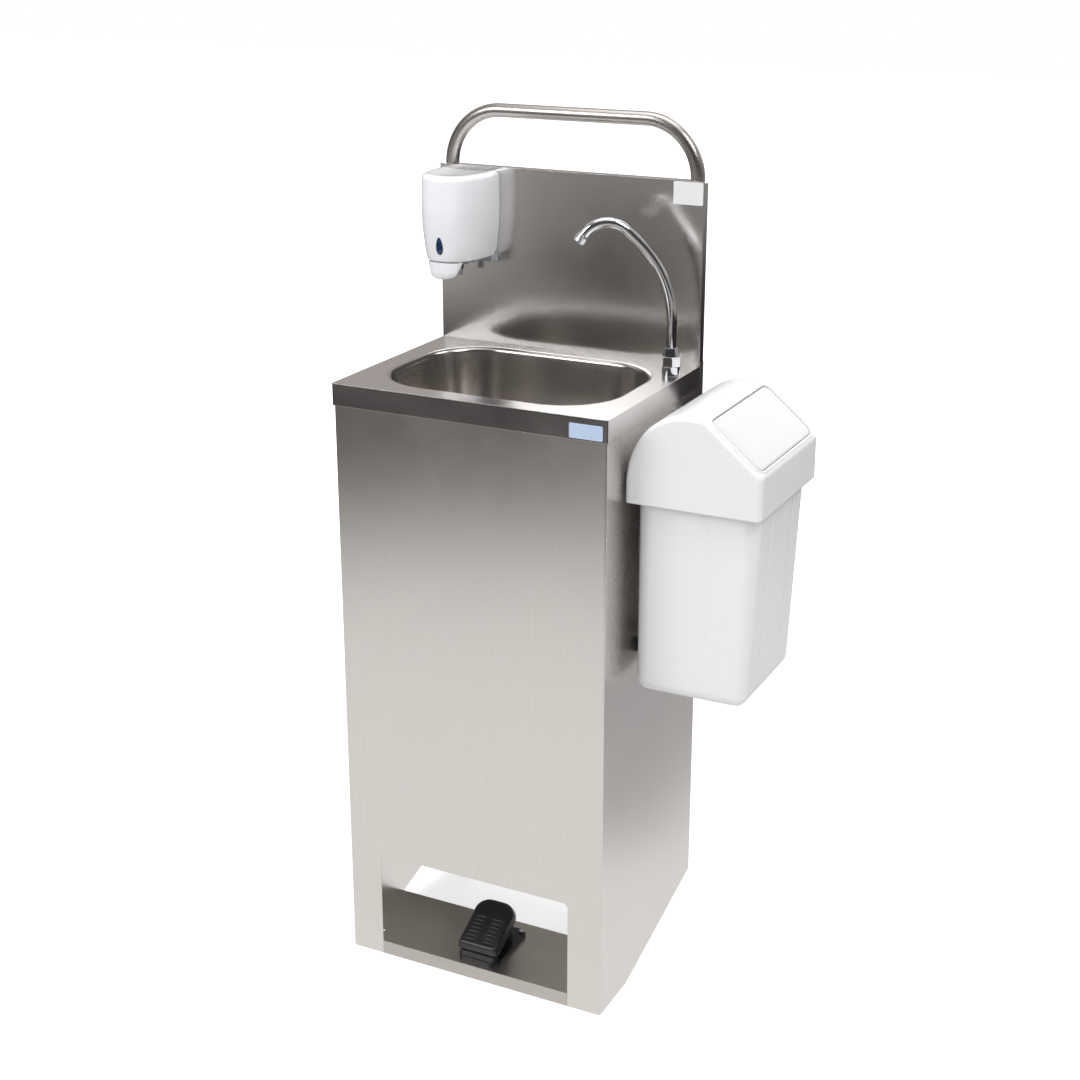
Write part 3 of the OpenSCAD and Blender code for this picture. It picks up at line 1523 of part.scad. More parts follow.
// Rubber buffers that keep the bucket off the cabinet's side.
module bin_buffers() {
    color("#2b2b2b") for (s = [-1, 1]) {
        rod_x([cabinet_w / 2, bucket_y + s * buffer_spread / 2, buffer_z],
            bucket_x - cabinet_w / 2 - seat, buffer_d);
    }
}

// One level of the bucket, whose back stays upright.
module bucket_slice(z, h, k, inset) {
    w = bucket_low_w + (bucket_top_w - bucket_low_w) * k - 2 * inset;
    l = bucket_low_l + (bucket_top_l - bucket_low_l) * k - 2 * inset;
    r = bucket_low_r + (bucket_r - bucket_low_r) * k - inset * bucket_r_share;
    translate([bucket_x + inset + w / 2, bucket_y, z]) linear_extrude(h)
        rounded_rect(w, l, max(r, bin_wall), $fn = 32);
}

// Bucket: a tapered tub with a rim and a lug that hangs on the bracket's hook.
module bin_bucket() {
    lug_top = bracket_top - bracket_h + hook_h + weld_gap + lug_t;
    lug_x = cabinet_w / 2 + bracket_t + move_gap;
    color("#f1f1f3") difference() {
        union() {
            hull() {
                bucket_slice(bucket_floor, thin, 0, floor_r);
                bucket_slice(bucket_floor + floor_r * floor_round_share, thin, 0,
                             floor_r * floor_round_share);
                bucket_slice(bucket_floor + floor_r, thin, 0, 0);
                bucket_slice(bucket_top - rim_t - thin, thin, 1, 0);
            }
            bucket_slice(bucket_top - rim_t - thin, rim_t + thin, 1, -rim_out);
            slab([lug_x, bucket_y - lug_l / 2 + move_gap, lug_top - lug_t],
                 [bucket_x + bin_wall, bucket_y + lug_l / 2 - move_gap, lug_top]);
            slab([lug_x, bucket_y - lug_l / 2 + move_gap, lug_top - lug_drop],
                 [lug_x + lug_t, bucket_y + lug_l / 2 - move_gap, lug_top]);
        }
        hull() {
            bucket_slice(bucket_floor + bin_wall, thin, 0, floor_r + bin_wall);
            bucket_slice(bucket_floor + floor_r, thin, 0, bin_wall);
            bucket_slice(bucket_top - rim_t - 2 * thin, thin, 1, bin_wall);
        }
        bucket_slice(bucket_top - rim_t - 3 * thin, rim_t + 3 * thin + cut, 1, bin_wall + thin);
    }
}

// The hood's outline seen from the front, drawn in by a wall.
function hood_outline(t) = concat(
    [[hood_x + t, skirt_z - (t > 0 ? cut : 0)]],
    [for (i = [0 : hood_arc_points])
        let (a = 90 * i / hood_arc_points,
             rx = hood_w * hood_round_share - t,
             low = skirt_z + hood_h * hood_shoulder_share,
             rz = hood_top - t - low)
        [hood_x + t + rx * (1 - cos(a)), low + rz * sin(a)]],
    [[ridge_x - t * tan(slope_a / 2), hood_top - t],
     [hood_x + hood_w - t, eave_z - t * tan((90 - slope_a) / 2)],
     [hood_x + hood_w - t, skirt_z - (t > 0 ? cut : 0)]]
);

module hood_prism(t, y0, y1) {
    translate([0, y1, 0]) rotate([90, 0, 0]) linear_extrude(y1 - y0) polygon(hood_outline(t));
}

// The hood's slope: +X down it from the ridge, +Z out of it.
module slope_frame() {
    translate([ridge_x, hood_y, hood_top]) rotate([0, slope_a, 0]) children();
}

// Hood: a roof-shaped shell with an opening in its slope.
module bin_hood() {
    y1 = hood_y + hood_l;
    color("#f4f4f6") difference() {
        union() {
            difference() {
                hood_prism(0, hood_y, y1);
                hood_prism(bin_wall, hood_y + bin_wall, y1 - bin_wall);
            }
            // Ledges that rest on the bucket's rim.
            for (y = [hood_y + bin_wall / 2, y1 - bin_wall / 2 - 2 * ledge_w]) {
                slab([bucket_x + bucket_r, y, bucket_top + seat],
                     [bucket_x + bucket_top_w - bucket_r, y + 2 * ledge_w, bucket_top + seat + bin_wall]);
            }
            // Bosses for the flap's pin.
            slope_frame() for (y = [bin_wall / 2, hood_l - bin_wall / 2 - hood_gable + flap_gap]) {
                rod_y([slope_in + flap_pin_in, y, -flap_pin_in], hood_gable - flap_gap, flap_boss_d);
            }
        }
        slope_frame() translate([slope_in, hood_gable, -flap_pin_in])
            cube([slope_l - 2 * slope_in, hood_l - 2 * hood_gable, 2 * flap_pin_in]);
        slope_frame() rod_y([slope_in + flap_pin_in, bin_wall / 2, -flap_pin_in], hood_l - bin_wall,
            flap_pin_d + fit_d);
    }
}

// Flap: a pane in the slope that swings inwards on its pin.
module bin_flap() {
    l = slope_l - 2 * slope_in - 2 * flap_gap;
    w = hood_l - 2 * hood_gable - 2 * flap_gap;
    color("#d6d6d9") slope_frame() difference() {
        union() {
            translate([slope_in + flap_gap, hood_gable + flap_gap, -flap_t]) cube([l, w, flap_t]);
            for (y = [hood_gable + flap_gap, hood_l - hood_gable - flap_gap - flap_wind_l]) {
                rod_y([slope_in + flap_pin_in, y, -flap_pin_in], flap_wind_l, flap_boss_d);
                translate([slope_in + flap_pin_in - flap_boss_d / 2, y, -flap_pin_in])
                    cube([flap_boss_d, flap_wind_l, flap_pin_in]);
            }
        }
        rod_y([slope_in + flap_pin_in, 0, -flap_pin_in], hood_l, flap_pin_d + fit_d);
    }
}

// Pin of the flap, held in the hood's bosses.
module flap_pin() {
    color("#9a9da1") slope_frame()
        rod_y([slope_in + flap_pin_in, bin_wall, -flap_pin_in], hood_l - 2 * bin_wall, flap_pin_d);
}

// Torsion spring on the pin that closes the flap.
module flap_spring() {
    y = hood_gable + 2 * flap_gap + flap_wind_l;
    color("#a9adb2") slope_frame() translate([slope_in + flap_pin_in, y, -flap_pin_in])
        along_y() coil(flap_pin_d + flap_wire + 4 * run_fit, flap_wire, flap_turns,
            flap_wind_l - flap_wire);
}

cabinet_body();
floor_plate();
jerrycan_shelf();
rear_crossmember();
sink_deck();
sink_bowl();
splashback();
push_handle();
handle_saddles();
handle_nuts();
castor_forks();
castor_bolts();
axle_bolts();
left_wheel_hub();
left_wheel_tyre();
right_wheel_hub();
right_wheel_tyre();
waste_strainer();
waste_gasket();
waste_locknut();
waste_tail();
drain_hose();
faucet_base();
faucet_washer();
faucet_locknut();
spout();
spout_nut();
aerator_shell();
aerator_insert();
pump_base();
pump_treadle();
pump_pivot_pin();
pump_bellows();
pump_spring();
pump_screws();
suction_hose();
delivery_hose();
hose_clips();
clean_jerrycan();
clean_cap();
waste_jerrycan();
waste_cap();
soap_back_plate();
soap_cover();
soap_window();
soap_lever();
soap_pins();
soap_reservoir();
soap_pump();
soap_plunger();
soap_screws();
soap_lock();
bin_bracket();
bin_rivets();
bin_buffers();
bin_bucket();
bin_hood();
bin_flap();
flap_pin();
flap_spring();
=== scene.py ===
"""Looks of the mobile hand wash sink: materials, smooth skins of moulded and pressed pieces, ground and lamps."""
import bmesh
import bpy
import json
import math
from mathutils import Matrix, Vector


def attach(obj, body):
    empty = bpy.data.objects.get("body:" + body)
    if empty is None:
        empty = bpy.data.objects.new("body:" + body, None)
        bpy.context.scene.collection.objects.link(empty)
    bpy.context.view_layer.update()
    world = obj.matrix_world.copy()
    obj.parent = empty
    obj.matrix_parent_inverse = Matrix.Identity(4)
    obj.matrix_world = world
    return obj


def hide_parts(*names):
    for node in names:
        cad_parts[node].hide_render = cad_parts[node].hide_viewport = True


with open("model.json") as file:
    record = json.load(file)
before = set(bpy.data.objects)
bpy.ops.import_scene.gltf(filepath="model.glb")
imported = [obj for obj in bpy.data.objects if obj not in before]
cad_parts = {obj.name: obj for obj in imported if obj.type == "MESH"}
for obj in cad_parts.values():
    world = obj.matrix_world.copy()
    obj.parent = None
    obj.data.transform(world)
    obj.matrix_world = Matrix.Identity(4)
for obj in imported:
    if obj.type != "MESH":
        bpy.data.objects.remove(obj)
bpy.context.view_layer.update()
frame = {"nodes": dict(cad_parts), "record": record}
NODES = frame["nodes"]
MM = 0.001
UP = Vector((0, 0, 1))


# ---------------------------------------------------------------- node helpers
class Tree:
    """A node tree with short calls for adding and joining nodes."""

    def __init__(self, tree):
        self.tree = tree

    def add(self, kind, **values):
        node = self.tree.nodes.new(kind)
        for key, value in values.items():
            setattr(node, key, value)
        return node

    def put(self, socket, value):
        if isinstance(value, bpy.types.NodeSocket):
            self.tree.links.new(value, socket)
        else:
            socket.default_value = value

    def math(self, operation, a, b=0.0, c=0.0):
        node = self.add("ShaderNodeMath", operation=operation)
        self.put(node.inputs[0], a)
        self.put(node.inputs[1], b)
        self.put(node.inputs[2], c)
        return node.outputs[0]

    def span(self, value, lo, hi):
        """0 at lo and 1 at hi, with a soft start and end."""
        node = self.add("ShaderNodeMapRange", interpolation_type="SMOOTHSTEP")
        for socket, v in zip(node.inputs[:3], (value, lo, hi)):
            self.put(socket, v)
        return node.outputs[0]

    def swing(self, value, amount):
        """A noise value, centred on 0 and scaled."""
        return self.math("MULTIPLY", self.math("SUBTRACT", value, 0.5), amount)

    def blend(self, factor, a, b):
        """A mix of two colours."""
        node = self.add("ShaderNodeMix", data_type="RGBA")
        self.put(node.inputs[0], factor)
        self.put(node.inputs[6], a)
        self.put(node.inputs[7], b)
        return node.outputs[2]

    def coords(self):
        return self.add("ShaderNodeTexCoord").outputs["Object"]

    def split(self, vector):
        node = self.add("ShaderNodeSeparateXYZ")
        self.put(node.inputs[0], vector)
        return node.outputs

    def stretch(self, vector, scale):
        node = self.add("ShaderNodeMapping")
        self.put(node.inputs[0], vector)
        node.inputs["Scale"].default_value = scale
        return node.outputs[0]

    def noise(self, vector, scale, detail=2.0, rough=0.5):
        node = self.add("ShaderNodeTexNoise")
        self.put(node.inputs["Vector"], vector)
        node.inputs["Scale"].default_value = scale
        node.inputs["Detail"].default_value = detail
        node.inputs["Roughness"].default_value = rough
        return node.outputs[0]

    def scaled(self, colour, factor):
        """A fixed colour times a factor."""
        node = self.add("ShaderNodeVectorMath", operation="SCALE")
        node.inputs[0].default_value = colour
        self.put(node.inputs["Scale"], factor)
        return node.outputs[0]

    def shade(self, kind, colour):
        """A shader of one kind in one colour."""
        node = self.add(kind)
        self.put(node.inputs["Color"], colour)
        return node.outputs[0]

    def mixed(self, factor, a, b):
        """A mix of two shaders."""
        node = self.add("ShaderNodeMixShader")
        for socket, value in zip(node.inputs, (factor, a, b)):
            self.put(socket, value)
        return node.outputs[0]

    def by_ray(self, plain, mirrored, seen):
        """One shader for lighting, one for reflections, and one for what the camera sees, also through glass."""
        path = self.add("ShaderNodeLightPath").outputs
        direct = self.math("MAXIMUM", path["Is Camera Ray"], path["Is Transmission Ray"])
        return self.mixed(direct, self.mixed(path["Is Glossy Ray"], plain, mirrored), seen)


def empty_tree(owner):
    """The node tree of a material or world, with its default nodes taken out."""
    owner.use_nodes = True
    for node in list(owner.node_tree.nodes):
        owner.node_tree.nodes.remove(node)
    return Tree(owner.node_tree)


def grey(v):
    return rgb(v, v, v)


def rgb(r, g, b):
    return (r, g, b, 1.0)


def new_material(name):
    mat = bpy.data.materials.new(name)
    tree = empty_tree(mat)
    out = tree.add("ShaderNodeOutputMaterial")
    surface = tree.add("ShaderNodeBsdfPrincipled")
    tree.put(out.inputs["Surface"], surface.outputs[0])
    return mat, tree, surface


def rounded(tree, radius):
    """A normal that rounds hard edges by a small radius."""
    node = tree.add("ShaderNodeBevel", samples=4)
    node.inputs["Radius"].default_value = radius
    return node.outputs[0]


def grained(tree, height, strength, depth, edge):
    """A normal with a fine grain over rounded edges."""
    node = tree.add("ShaderNodeBump")
    node.inputs["Strength"].default_value = strength
    node.inputs["Distance"].default_value = depth
    tree.put(node.inputs["Height"], height)
    tree.put(node.inputs["Normal"], rounded(tree, edge))
    return node.outputs[0]


LABEL_CORNER = 0.002
LABEL_GLOSS = 0.12
GRAIN_SCALE, GRAIN_SHADE, GRAIN_BUMP, GRAIN_DEPTH = 14.0, 0.10, 0.012, 0.0005
STAIN_SCALE, STAIN_GLOSS = 7.0, 0.12
UPRIGHT_GRAIN, LEVEL_GRAIN = (60.0, 60.0, 1.5), (1.5, 60.0, 60.0)


def label_mask(tree, at, area):
    """1 inside a blank label with round corners, 0 outside; area = (x0, x1, z0, z1, y limit)."""
    x, y, z = tree.split(at)
    x0, x1, z0, z1, limit = area
    far = []
    for v, lo, hi in ((x, x0, x1), (z, z0, z1)):
        off = tree.math("ABSOLUTE", tree.math("SUBTRACT", v, (lo + hi) / 2))
        far.append(tree.math("MAXIMUM", tree.math("SUBTRACT", off, (hi - lo) / 2 - LABEL_CORNER), 0.0))
    length = tree.math("SQRT", tree.math("ADD", tree.math("MULTIPLY", far[0], far[0]),
                                         tree.math("MULTIPLY", far[1], far[1])))
    return tree.math("MULTIPLY", tree.math("LESS_THAN", length, LABEL_CORNER), tree.math("LESS_THAN", y, limit))


def steel(name, base, rough, grain=UPRIGHT_GRAIN, aniso=0.45, stain=0.05, edge=0.0008, label=None):
    """Brushed sheet: fine grain along one way, with faint broad stains, and a blank label if one is given."""
    mat, t, s = new_material(name)
    at = t.coords()
    fine = t.noise(t.stretch(at, grain), GRAIN_SCALE, 3.0, 0.6)
    broad = t.noise(at, STAIN_SCALE, 4.0, 0.62)
    shade = t.math("ADD", t.swing(fine, GRAIN_SHADE), t.swing(broad, stain * 2))
    shown = t.scaled(base, t.math("ADD", 1.0, shade))
    gloss = t.math("ADD", rough, t.swing(broad, STAIN_GLOSS))
    s.inputs["Metallic"].default_value = 1.0
    if label:
        area, paper = label
        mask = label_mask(t, at, area)
        shown = t.blend(mask, shown, paper)
        gloss = t.math("ADD", gloss, t.math("MULTIPLY", mask, LABEL_GLOSS))
        t.put(s.inputs["Metallic"], t.math("SUBTRACT", 1.0, mask))
    t.put(s.inputs["Base Color"], shown)
    t.put(s.inputs["Roughness"], gloss)
    s.inputs["Anisotropic"].default_value = aniso
    t.put(s.inputs["Normal"], grained(t, fine, GRAIN_BUMP, GRAIN_DEPTH, edge))
    return mat


def chrome(name, base, rough, edge=0.0005):
    """Plated or polished metal."""
    mat, t, s = new_material(name)
    at = t.coords()
    s.inputs["Base Color"].default_value = base
    s.inputs["Metallic"].default_value = 1.0
    t.put(s.inputs["Roughness"], t.math("ADD", rough, t.math("MULTIPLY", t.noise(at, 60.0), 0.03)))
    t.put(s.inputs["Normal"], rounded(t, edge))
    return mat


def plastic(name, base, rough, coat=0.0, fleck=0.02, edge=0.001, bump=0.02):
    """A moulded surface with a faint unevenness in tone, gloss and height."""
    mat, t, s = new_material(name)
    at = t.coords()
    broad = t.noise(at, 16.0, 3.0, 0.55)
    tone = t.math("ADD", 1.0 - fleck, t.math("MULTIPLY", broad, 2 * fleck))
    t.put(s.inputs["Base Color"], t.scaled(base[:3], tone))
    t.put(s.inputs["Roughness"], t.math("ADD", rough, t.swing(broad, 0.06)))
    s.inputs["Coat Weight"].default_value = coat
    s.inputs["Coat Roughness"].default_value = 0.08
    t.put(s.inputs["Normal"], grained(t, t.noise(at, 220.0, 2.0), bump, 0.0004, edge))
    return mat


SPLASH_LABEL = (0.156, 0.1985, 1.068, 1.0985, 0.290)
APRON_LABEL = (0.147, 0.193, 0.822, 0.8415, -0.009)
MOULDED = {"soap": dict(coat=0.5, fleck=0.005, edge=0.002, bump=0.004),
           "bin": dict(coat=0.3, fleck=0.004, edge=0.003, bump=0.004),
           "flap": dict(coat=0.2, fleck=0.004, edge=0.002, bump=0.004)}
MATERIALS = {
    "cabinet_steel": steel("cabinet_steel", (0.74, 0.715, 0.69), 0.27),
    "splash_steel": steel("splash_steel", (0.70, 0.68, 0.665), 0.17, grain=LEVEL_GRAIN,
                          label=(SPLASH_LABEL, rgb(0.80, 0.80, 0.81))),
    "deck_steel": steel("deck_steel", (0.68, 0.66, 0.65), 0.20, grain=LEVEL_GRAIN,
                        label=(APRON_LABEL, rgb(0.50, 0.62, 0.80))),
    "plate_steel": steel("plate_steel", (0.55, 0.52, 0.49), 0.36, grain=LEVEL_GRAIN, stain=0.10),
    "inner_steel": steel("inner_steel", (0.68, 0.67, 0.65), 0.32),
    # The bowl's steel is a darker copy of the deck's: painted shade, standing in for the bowl's darker reflections.
    "bowl_steel": steel("bowl_steel", (0.60, 0.575, 0.55), 0.22, grain=(3.0, 3.0, 3.0), aniso=0.0, stain=0.03),
    "handle_steel": steel("handle_steel", (0.50, 0.48, 0.465), 0.28, grain=(0.6, 0.6, 0.6), aniso=0.0,
                          stain=0.02),
    "zinc_steel": steel("zinc_steel", (0.66, 0.67, 0.69), 0.34, grain=(30.0, 30.0, 30.0), aniso=0.0),
    "hub_plastic": plastic("hub_plastic", rgb(0.20, 0.22, 0.25), 0.45),
    "tyre_rubber": plastic("tyre_rubber", rgb(0.035, 0.035, 0.038), 0.62),
    "chrome": chrome("chrome", rgb(0.74, 0.75, 0.77), 0.04),
    "brass": chrome("brass", rgb(0.72, 0.55, 0.28), 0.22),
    "black_rubber": plastic("black_rubber", rgb(0.020, 0.020, 0.022), 0.55),
    "pump_plastic": plastic("pump_plastic", rgb(0.012, 0.012, 0.013), 0.34, coat=0.2),
    "white_plastic": plastic("white_plastic", rgb(0.84, 0.84, 0.82), 0.40),
    "hose_plastic": plastic("hose_plastic", rgb(0.70, 0.74, 0.77), 0.30),
    "clean_can": plastic("clean_can", rgb(0.80, 0.84, 0.86), 0.42),
    "waste_can": plastic("waste_can", rgb(0.66, 0.67, 0.68), 0.42),
    "cap_blue": plastic("cap_blue", rgb(0.035, 0.13, 0.42), 0.32),
    "cap_grey": plastic("cap_grey", rgb(0.07, 0.075, 0.08), 0.35),
    "soap_white": plastic("soap_white", rgb(0.86, 0.87, 0.89), 0.16, **MOULDED["soap"]),
    "soap_grey": plastic("soap_grey", rgb(0.42, 0.44, 0.47), 0.38),
    "window_blue": plastic("window_blue", rgb(0.010, 0.030, 0.085), 0.14, coat=0.6, fleck=0.0),
    "bin_white": plastic("bin_white", rgb(0.88, 0.88, 0.89), 0.22, **MOULDED["bin"]),
    "flap_grey": plastic("flap_grey", rgb(0.56, 0.56, 0.575), 0.24, **MOULDED["flap"]),
}
for part in frame["record"]["subparts"]:
    obj = NODES[part["node"]]
    obj.data.materials.clear()
    obj.data.materials.append(MATERIALS[part["material_slot"]])


# ---------------------------------------------------------------- mesh helpers
def finish_mesh(obj, sharp=40.0, weighted=True):
    """Smooth shading with sharp creases, and normals that keep flat faces flat."""
    mesh = obj.data
    for face in mesh.polygons:
        face.use_smooth = True
    mesh.set_sharp_from_angle(angle=math.radians(sharp))
    if weighted:
        mod = obj.modifiers.new("flat_faces", "WEIGHTED_NORMAL")
        mod.keep_sharp = True
        mod.weight = 70


def linked(name, data):
    """A new object in the scene."""
    obj = bpy.data.objects.new(name, data)
    bpy.context.collection.objects.link(obj)
    return obj


class Shape:
    """Points and faces that are gathered before they become one piece."""

    def __init__(self):
        self.verts = []
        self.faces = []

    def ring(self, points):
        first = len(self.verts)
        self.verts.extend(Vector(p) for p in points)
        return list(range(first, first + len(points)))

    def strip(self, a, b, closed=True):
        n = len(a)
        for i in range(n if closed else n - 1):
            j = (i + 1) % n
            self.faces.append((a[i], a[j], b[j], b[i]))

    def cap(self, ring):
        self.faces.append(tuple(ring))

    def join(self, ids, closed=True):
        """Strips from each ring to the next."""
        for a, b in zip(ids, ids[1:]):
            self.strip(a, b, closed)

    def loft(self, rings):
        ids = [self.ring(r) for r in rings]
        self.join(ids)
        return ids

    def sides(self, outer, inner):
        """The two long edges between an open outer and inner skin."""
        for a, b, c, d in zip(outer, outer[1:], inner, inner[1:]):
            self.faces.append((a[0], b[0], d[0], c[0]))
            self.faces.append((a[-1], b[-1], d[-1], c[-1]))

    def solid(self, name):
        """An object of these faces, with its normals outwards."""
        mesh = bpy.data.meshes.new(name)
        mesh.from_pydata([tuple(v) for v in self.verts], [], self.faces)
        bm = bmesh.new()
        bm.from_mesh(mesh)
        bmesh.ops.recalc_face_normals(bm, faces=bm.faces)
        bm.to_mesh(mesh)
        bm.free()
        return linked(name, mesh)

    def make(self, name, slot, body, *nodes, sharp=40.0, weighted=True):
        """A finished piece that rides on a body, in place of the named nodes if any."""
        obj = self.solid(name)
        obj.data.materials.append(MATERIALS[slot])
        finish_mesh(obj, sharp, weighted)
        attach(obj, body)
        if nodes:
            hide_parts(*nodes)
        return obj


def corner_arc(a, b, c, radius, steps=8):
    """The points of an arc that rounds the corner b of a route."""
    a, b, c = Vector(a), Vector(b), Vector(c)
    t, u = (b - a).normalized(), (c - b).normalized()
    turn = t.angle(u)
    side = (u - t * math.cos(turn)).normalized()
    start = b - t * radius * math.tan(turn / 2)
    return [start + radius * (math.sin(turn * i / steps) * t + (1 - math.cos(turn * i / steps)) * side)
            for i in range(steps + 1)]


def frames(points):
    """A direction and two normals at each point of a path, carried along without twist."""
    p = [Vector(q) for q in points]
    dirs = []
    for i in range(len(p)):
        d = Vector((0, 0, 0))
        if i < len(p) - 1:
            d += (p[i + 1] - p[i]).normalized()
        if i > 0:
            d += (p[i] - p[i - 1]).normalized()
        dirs.append(d.normalized())
    n = Vector((1, 0, 0)) if abs(dirs[0].x) < 0.5 else Vector((0, 1, 0))
    out = []
    for q, d in zip(p, dirs):
        n = (n - n.dot(d) * d).normalized()
        out.append((q, d, n, d.cross(n)))
    return out


def tube_shape(shape, points, outer, inner, sides=48):
    """A hollow tube along a path, open at both ends."""
    rings = []
    for radius in (outer, inner):
        ids = [shape.ring([q + radius * (math.cos(a) * n + math.sin(a) * m)
                           for a in (2 * math.pi * k / sides for k in range(sides))])
               for q, _, n, m in frames(points)]
        shape.join(ids)
        rings.append(ids)
    shape.strip(rings[0][0], rings[1][0])
    shape.strip(rings[0][-1], rings[1][-1])


def turned(shape, profile, place, axis, across, sides=64, ribs=None):
    """A profile of (radius, height) turned about an axis; ribs = (count, depth, low, high) waves its radius."""
    w = axis.cross(across)
    rings = []
    for radius, height in profile:
        ring = []
        for k in range(sides):
            a = 2 * math.pi * k / sides
            r = radius
            if ribs and ribs[2] < height < ribs[3]:
                r -= ribs[1] * (0.5 - 0.5 * math.cos(ribs[0] * a))
            ring.append(place + axis * height + r * (math.cos(a) * across + math.sin(a) * w))
        rings.append(ring)
    ids = shape.loft(rings)
    shape.strip(ids[-1], ids[0])


def round_outline(cx, cy, w, d, r, corner=8, side=6, support=0.0015):
    """Points of a rectangle with round corners, counter-clockwise from the middle of its right side."""
    r = max(r, 0.0002)
    out = []
    centres = [(w / 2 - r, d / 2 - r, 0), (-w / 2 + r, d / 2 - r, 90),
               (-w / 2 + r, -d / 2 + r, 180), (w / 2 - r, -d / 2 + r, 270)]
    for k, (x, y, start) in enumerate(centres):
        for i in range(corner + 1):
            a = math.radians(start + 90 * i / corner)
            out.append(Vector((cx + x + r * math.cos(a), cy + y + r * math.sin(a))))
        nx, ny, ns = centres[(k + 1) % 4]
        a = math.radians(ns)
        end = Vector((cx + nx + r * math.cos(a), cy + ny + r * math.sin(a)))
        begin = out[-1].copy()
        length = (end - begin).length
        s = min(support / length, 0.2) if length > 1e-9 else 0.2
        for i in range(side + 1):
            out.append(begin.lerp(end, s + (1 - 2 * s) * i / side))
    return out


def at_height(outline, z):
    return [Vector((p[0], p[1], z)) for p in outline]


# ---------------------------------------------------------------- push handle
HANDLE_X, HANDLE_Y, HANDLE_FOOT, HANDLE_TOP = 0.186, 0.3008, 0.600, 1.1765
HANDLE_BEND, HANDLE_R, HANDLE_BORE = 0.076, 0.0095, 0.0080
HANDLE_STEPS = 23


def push_handle():
    """One tube, up, across and down, with two bends."""
    route = [Vector((x, HANDLE_Y, z)) for x, z in ((-HANDLE_X, HANDLE_FOOT), (-HANDLE_X, HANDLE_TOP),
                                                   (HANDLE_X, HANDLE_TOP), (HANDLE_X, HANDLE_FOOT))]
    path = route[:1] + corner_arc(*route[:3], HANDLE_BEND, HANDLE_STEPS)
    path += corner_arc(*route[1:], HANDLE_BEND, HANDLE_STEPS) + route[-1:]
    s = Shape()
    tube_shape(s, path, HANDLE_R, HANDLE_BORE)
    s.make("handle_tube", "handle_steel", "cabinet", "push_handle")


# ---------------------------------------------------------------- spout
TAP = Vector((0.182, 0.2315, 0.0))
SPOUT_TURN = math.radians(205)
SPOUT_DIR = Vector((math.cos(SPOUT_TURN), math.sin(SPOUT_TURN), 0.0))
SPOUT_R, SPOUT_BORE = 0.0070, 0.0056
SPOUT_FOOT = [(0.0, 0.858), (0.0, 0.890)]
SWEEP_R, SWEEP_Z, SWEEP_DEG, SWEEP_STEPS = 0.150, 0.921, 46, 12
STRAIGHT, NOSE = 0.020, 0.005
CREST_R, CREST_DEG, CREST_STEPS = 0.038, 99, 24
AERATOR = [(7.06, 0.0), (7.75, 0.15), (8.15, 0.6), (8.22, 2.4), (7.75, 2.75), (7.75, 3.25), (8.25, 3.6),
           (8.3, 4.1), (8.3, 10.2), (8.15, 10.9), (7.75, 11.2), (7.75, 11.7), (7.5, 12.0), (7.1, 12.0), (7.06, 11.6)]
AERATOR_RIBS = (32, 0.22 * MM, 3.9 * MM, 10.4 * MM)


def spout_path():
    """The spout's centre line: upright, a long bend, a short straight, the top bend and the nose."""
    pts = list(SPOUT_FOOT)
    for i in range(SWEEP_STEPS + 1):
        w = math.radians(180 - SWEEP_DEG * i / SWEEP_STEPS)
        pts.append((SWEEP_R * (1 + math.cos(w)), SWEEP_Z + SWEEP_R * math.sin(w)))
    ex, ez = pts[-1]
    a = math.radians(SWEEP_DEG)
    mx = ex + STRAIGHT * math.sin(a) + CREST_R * math.cos(a)
    mz = ez + STRAIGHT * math.cos(a) - CREST_R * math.sin(a)
    for i in range(CREST_STEPS + 1):
        w = math.radians(180 - SWEEP_DEG - CREST_DEG * i / CREST_STEPS)
        pts.append((mx + CREST_R * math.cos(w), mz + CREST_R * math.sin(w)))
    tip = pts[-1]
    end = math.radians(180 - SWEEP_DEG - CREST_DEG)
    out = (math.sin(end), -math.cos(end))
    pts.append((tip[0] + NOSE * out[0], tip[1] + NOSE * out[1]))
    place = [TAP + SPOUT_DIR * px + UP * pz for px, pz in pts]
    aim = (SPOUT_DIR * out[0] + UP * out[1]).normalized()
    return place, TAP + SPOUT_DIR * tip[0] + UP * tip[1], aim


def spout():
    """The bent tube, and the ribbed collar at its mouth."""
    path, tip, aim = spout_path()
    s = Shape()
    tube_shape(s, path, SPOUT_R, SPOUT_BORE)
    s.make("spout_tube", "chrome", "spout_body", "spout")
    s = Shape()
    turned(s, [(r * MM, h * MM) for r, h in AERATOR], tip, aim, aim.cross(UP).normalized(), 192, AERATOR_RIBS)
    s.make("aerator_collar", "chrome", "spout_body", "aerator_shell", weighted=False)


# ---------------------------------------------------------------- bowl
BOWL_Y, BOWL_W, BOWL_D, BOWL_R = 0.1425, 0.340, 0.244, 0.086
BOWL_RIM, BOWL_ROLL, BOWL_SHEET = 0.84995, 0.0065, 0.0015
BOWL_WALL = [(0.0078, 0.830), (0.0092, 0.812), (0.0108, 0.796)]
BOWL_TURN, BOWL_TURN_IN, BOWL_TURN_R, BOWL_TURN_H = 0.786, 0.0118, 0.0515, 0.086
BOWL_FLAT, WASTE_SEAT, WASTE_UNDER, WASTE_R = 0.075, 0.034, 0.036, 0.02125
BOWL_BASE, SEAT_Z, WASTE_Z, UNDER_Z = 0.7000, 0.6998, 0.6997, 0.6985
FLANGE = [(0.0039, 0.8471), (-0.0118, 0.8471), (-0.0118, 0.8484), (0.0001, 0.8484)]
UNDER_FROM = 8


def bowl_ring(inset, z):
    """The bowl's outline drawn in by an inset."""
    w, d, r = BOWL_W - 2 * inset, BOWL_D - 2 * inset, max(BOWL_R - inset, 0.012)
    return at_height(round_outline(0.0, BOWL_Y, w, d, r, 14, 8, 0.004), z)


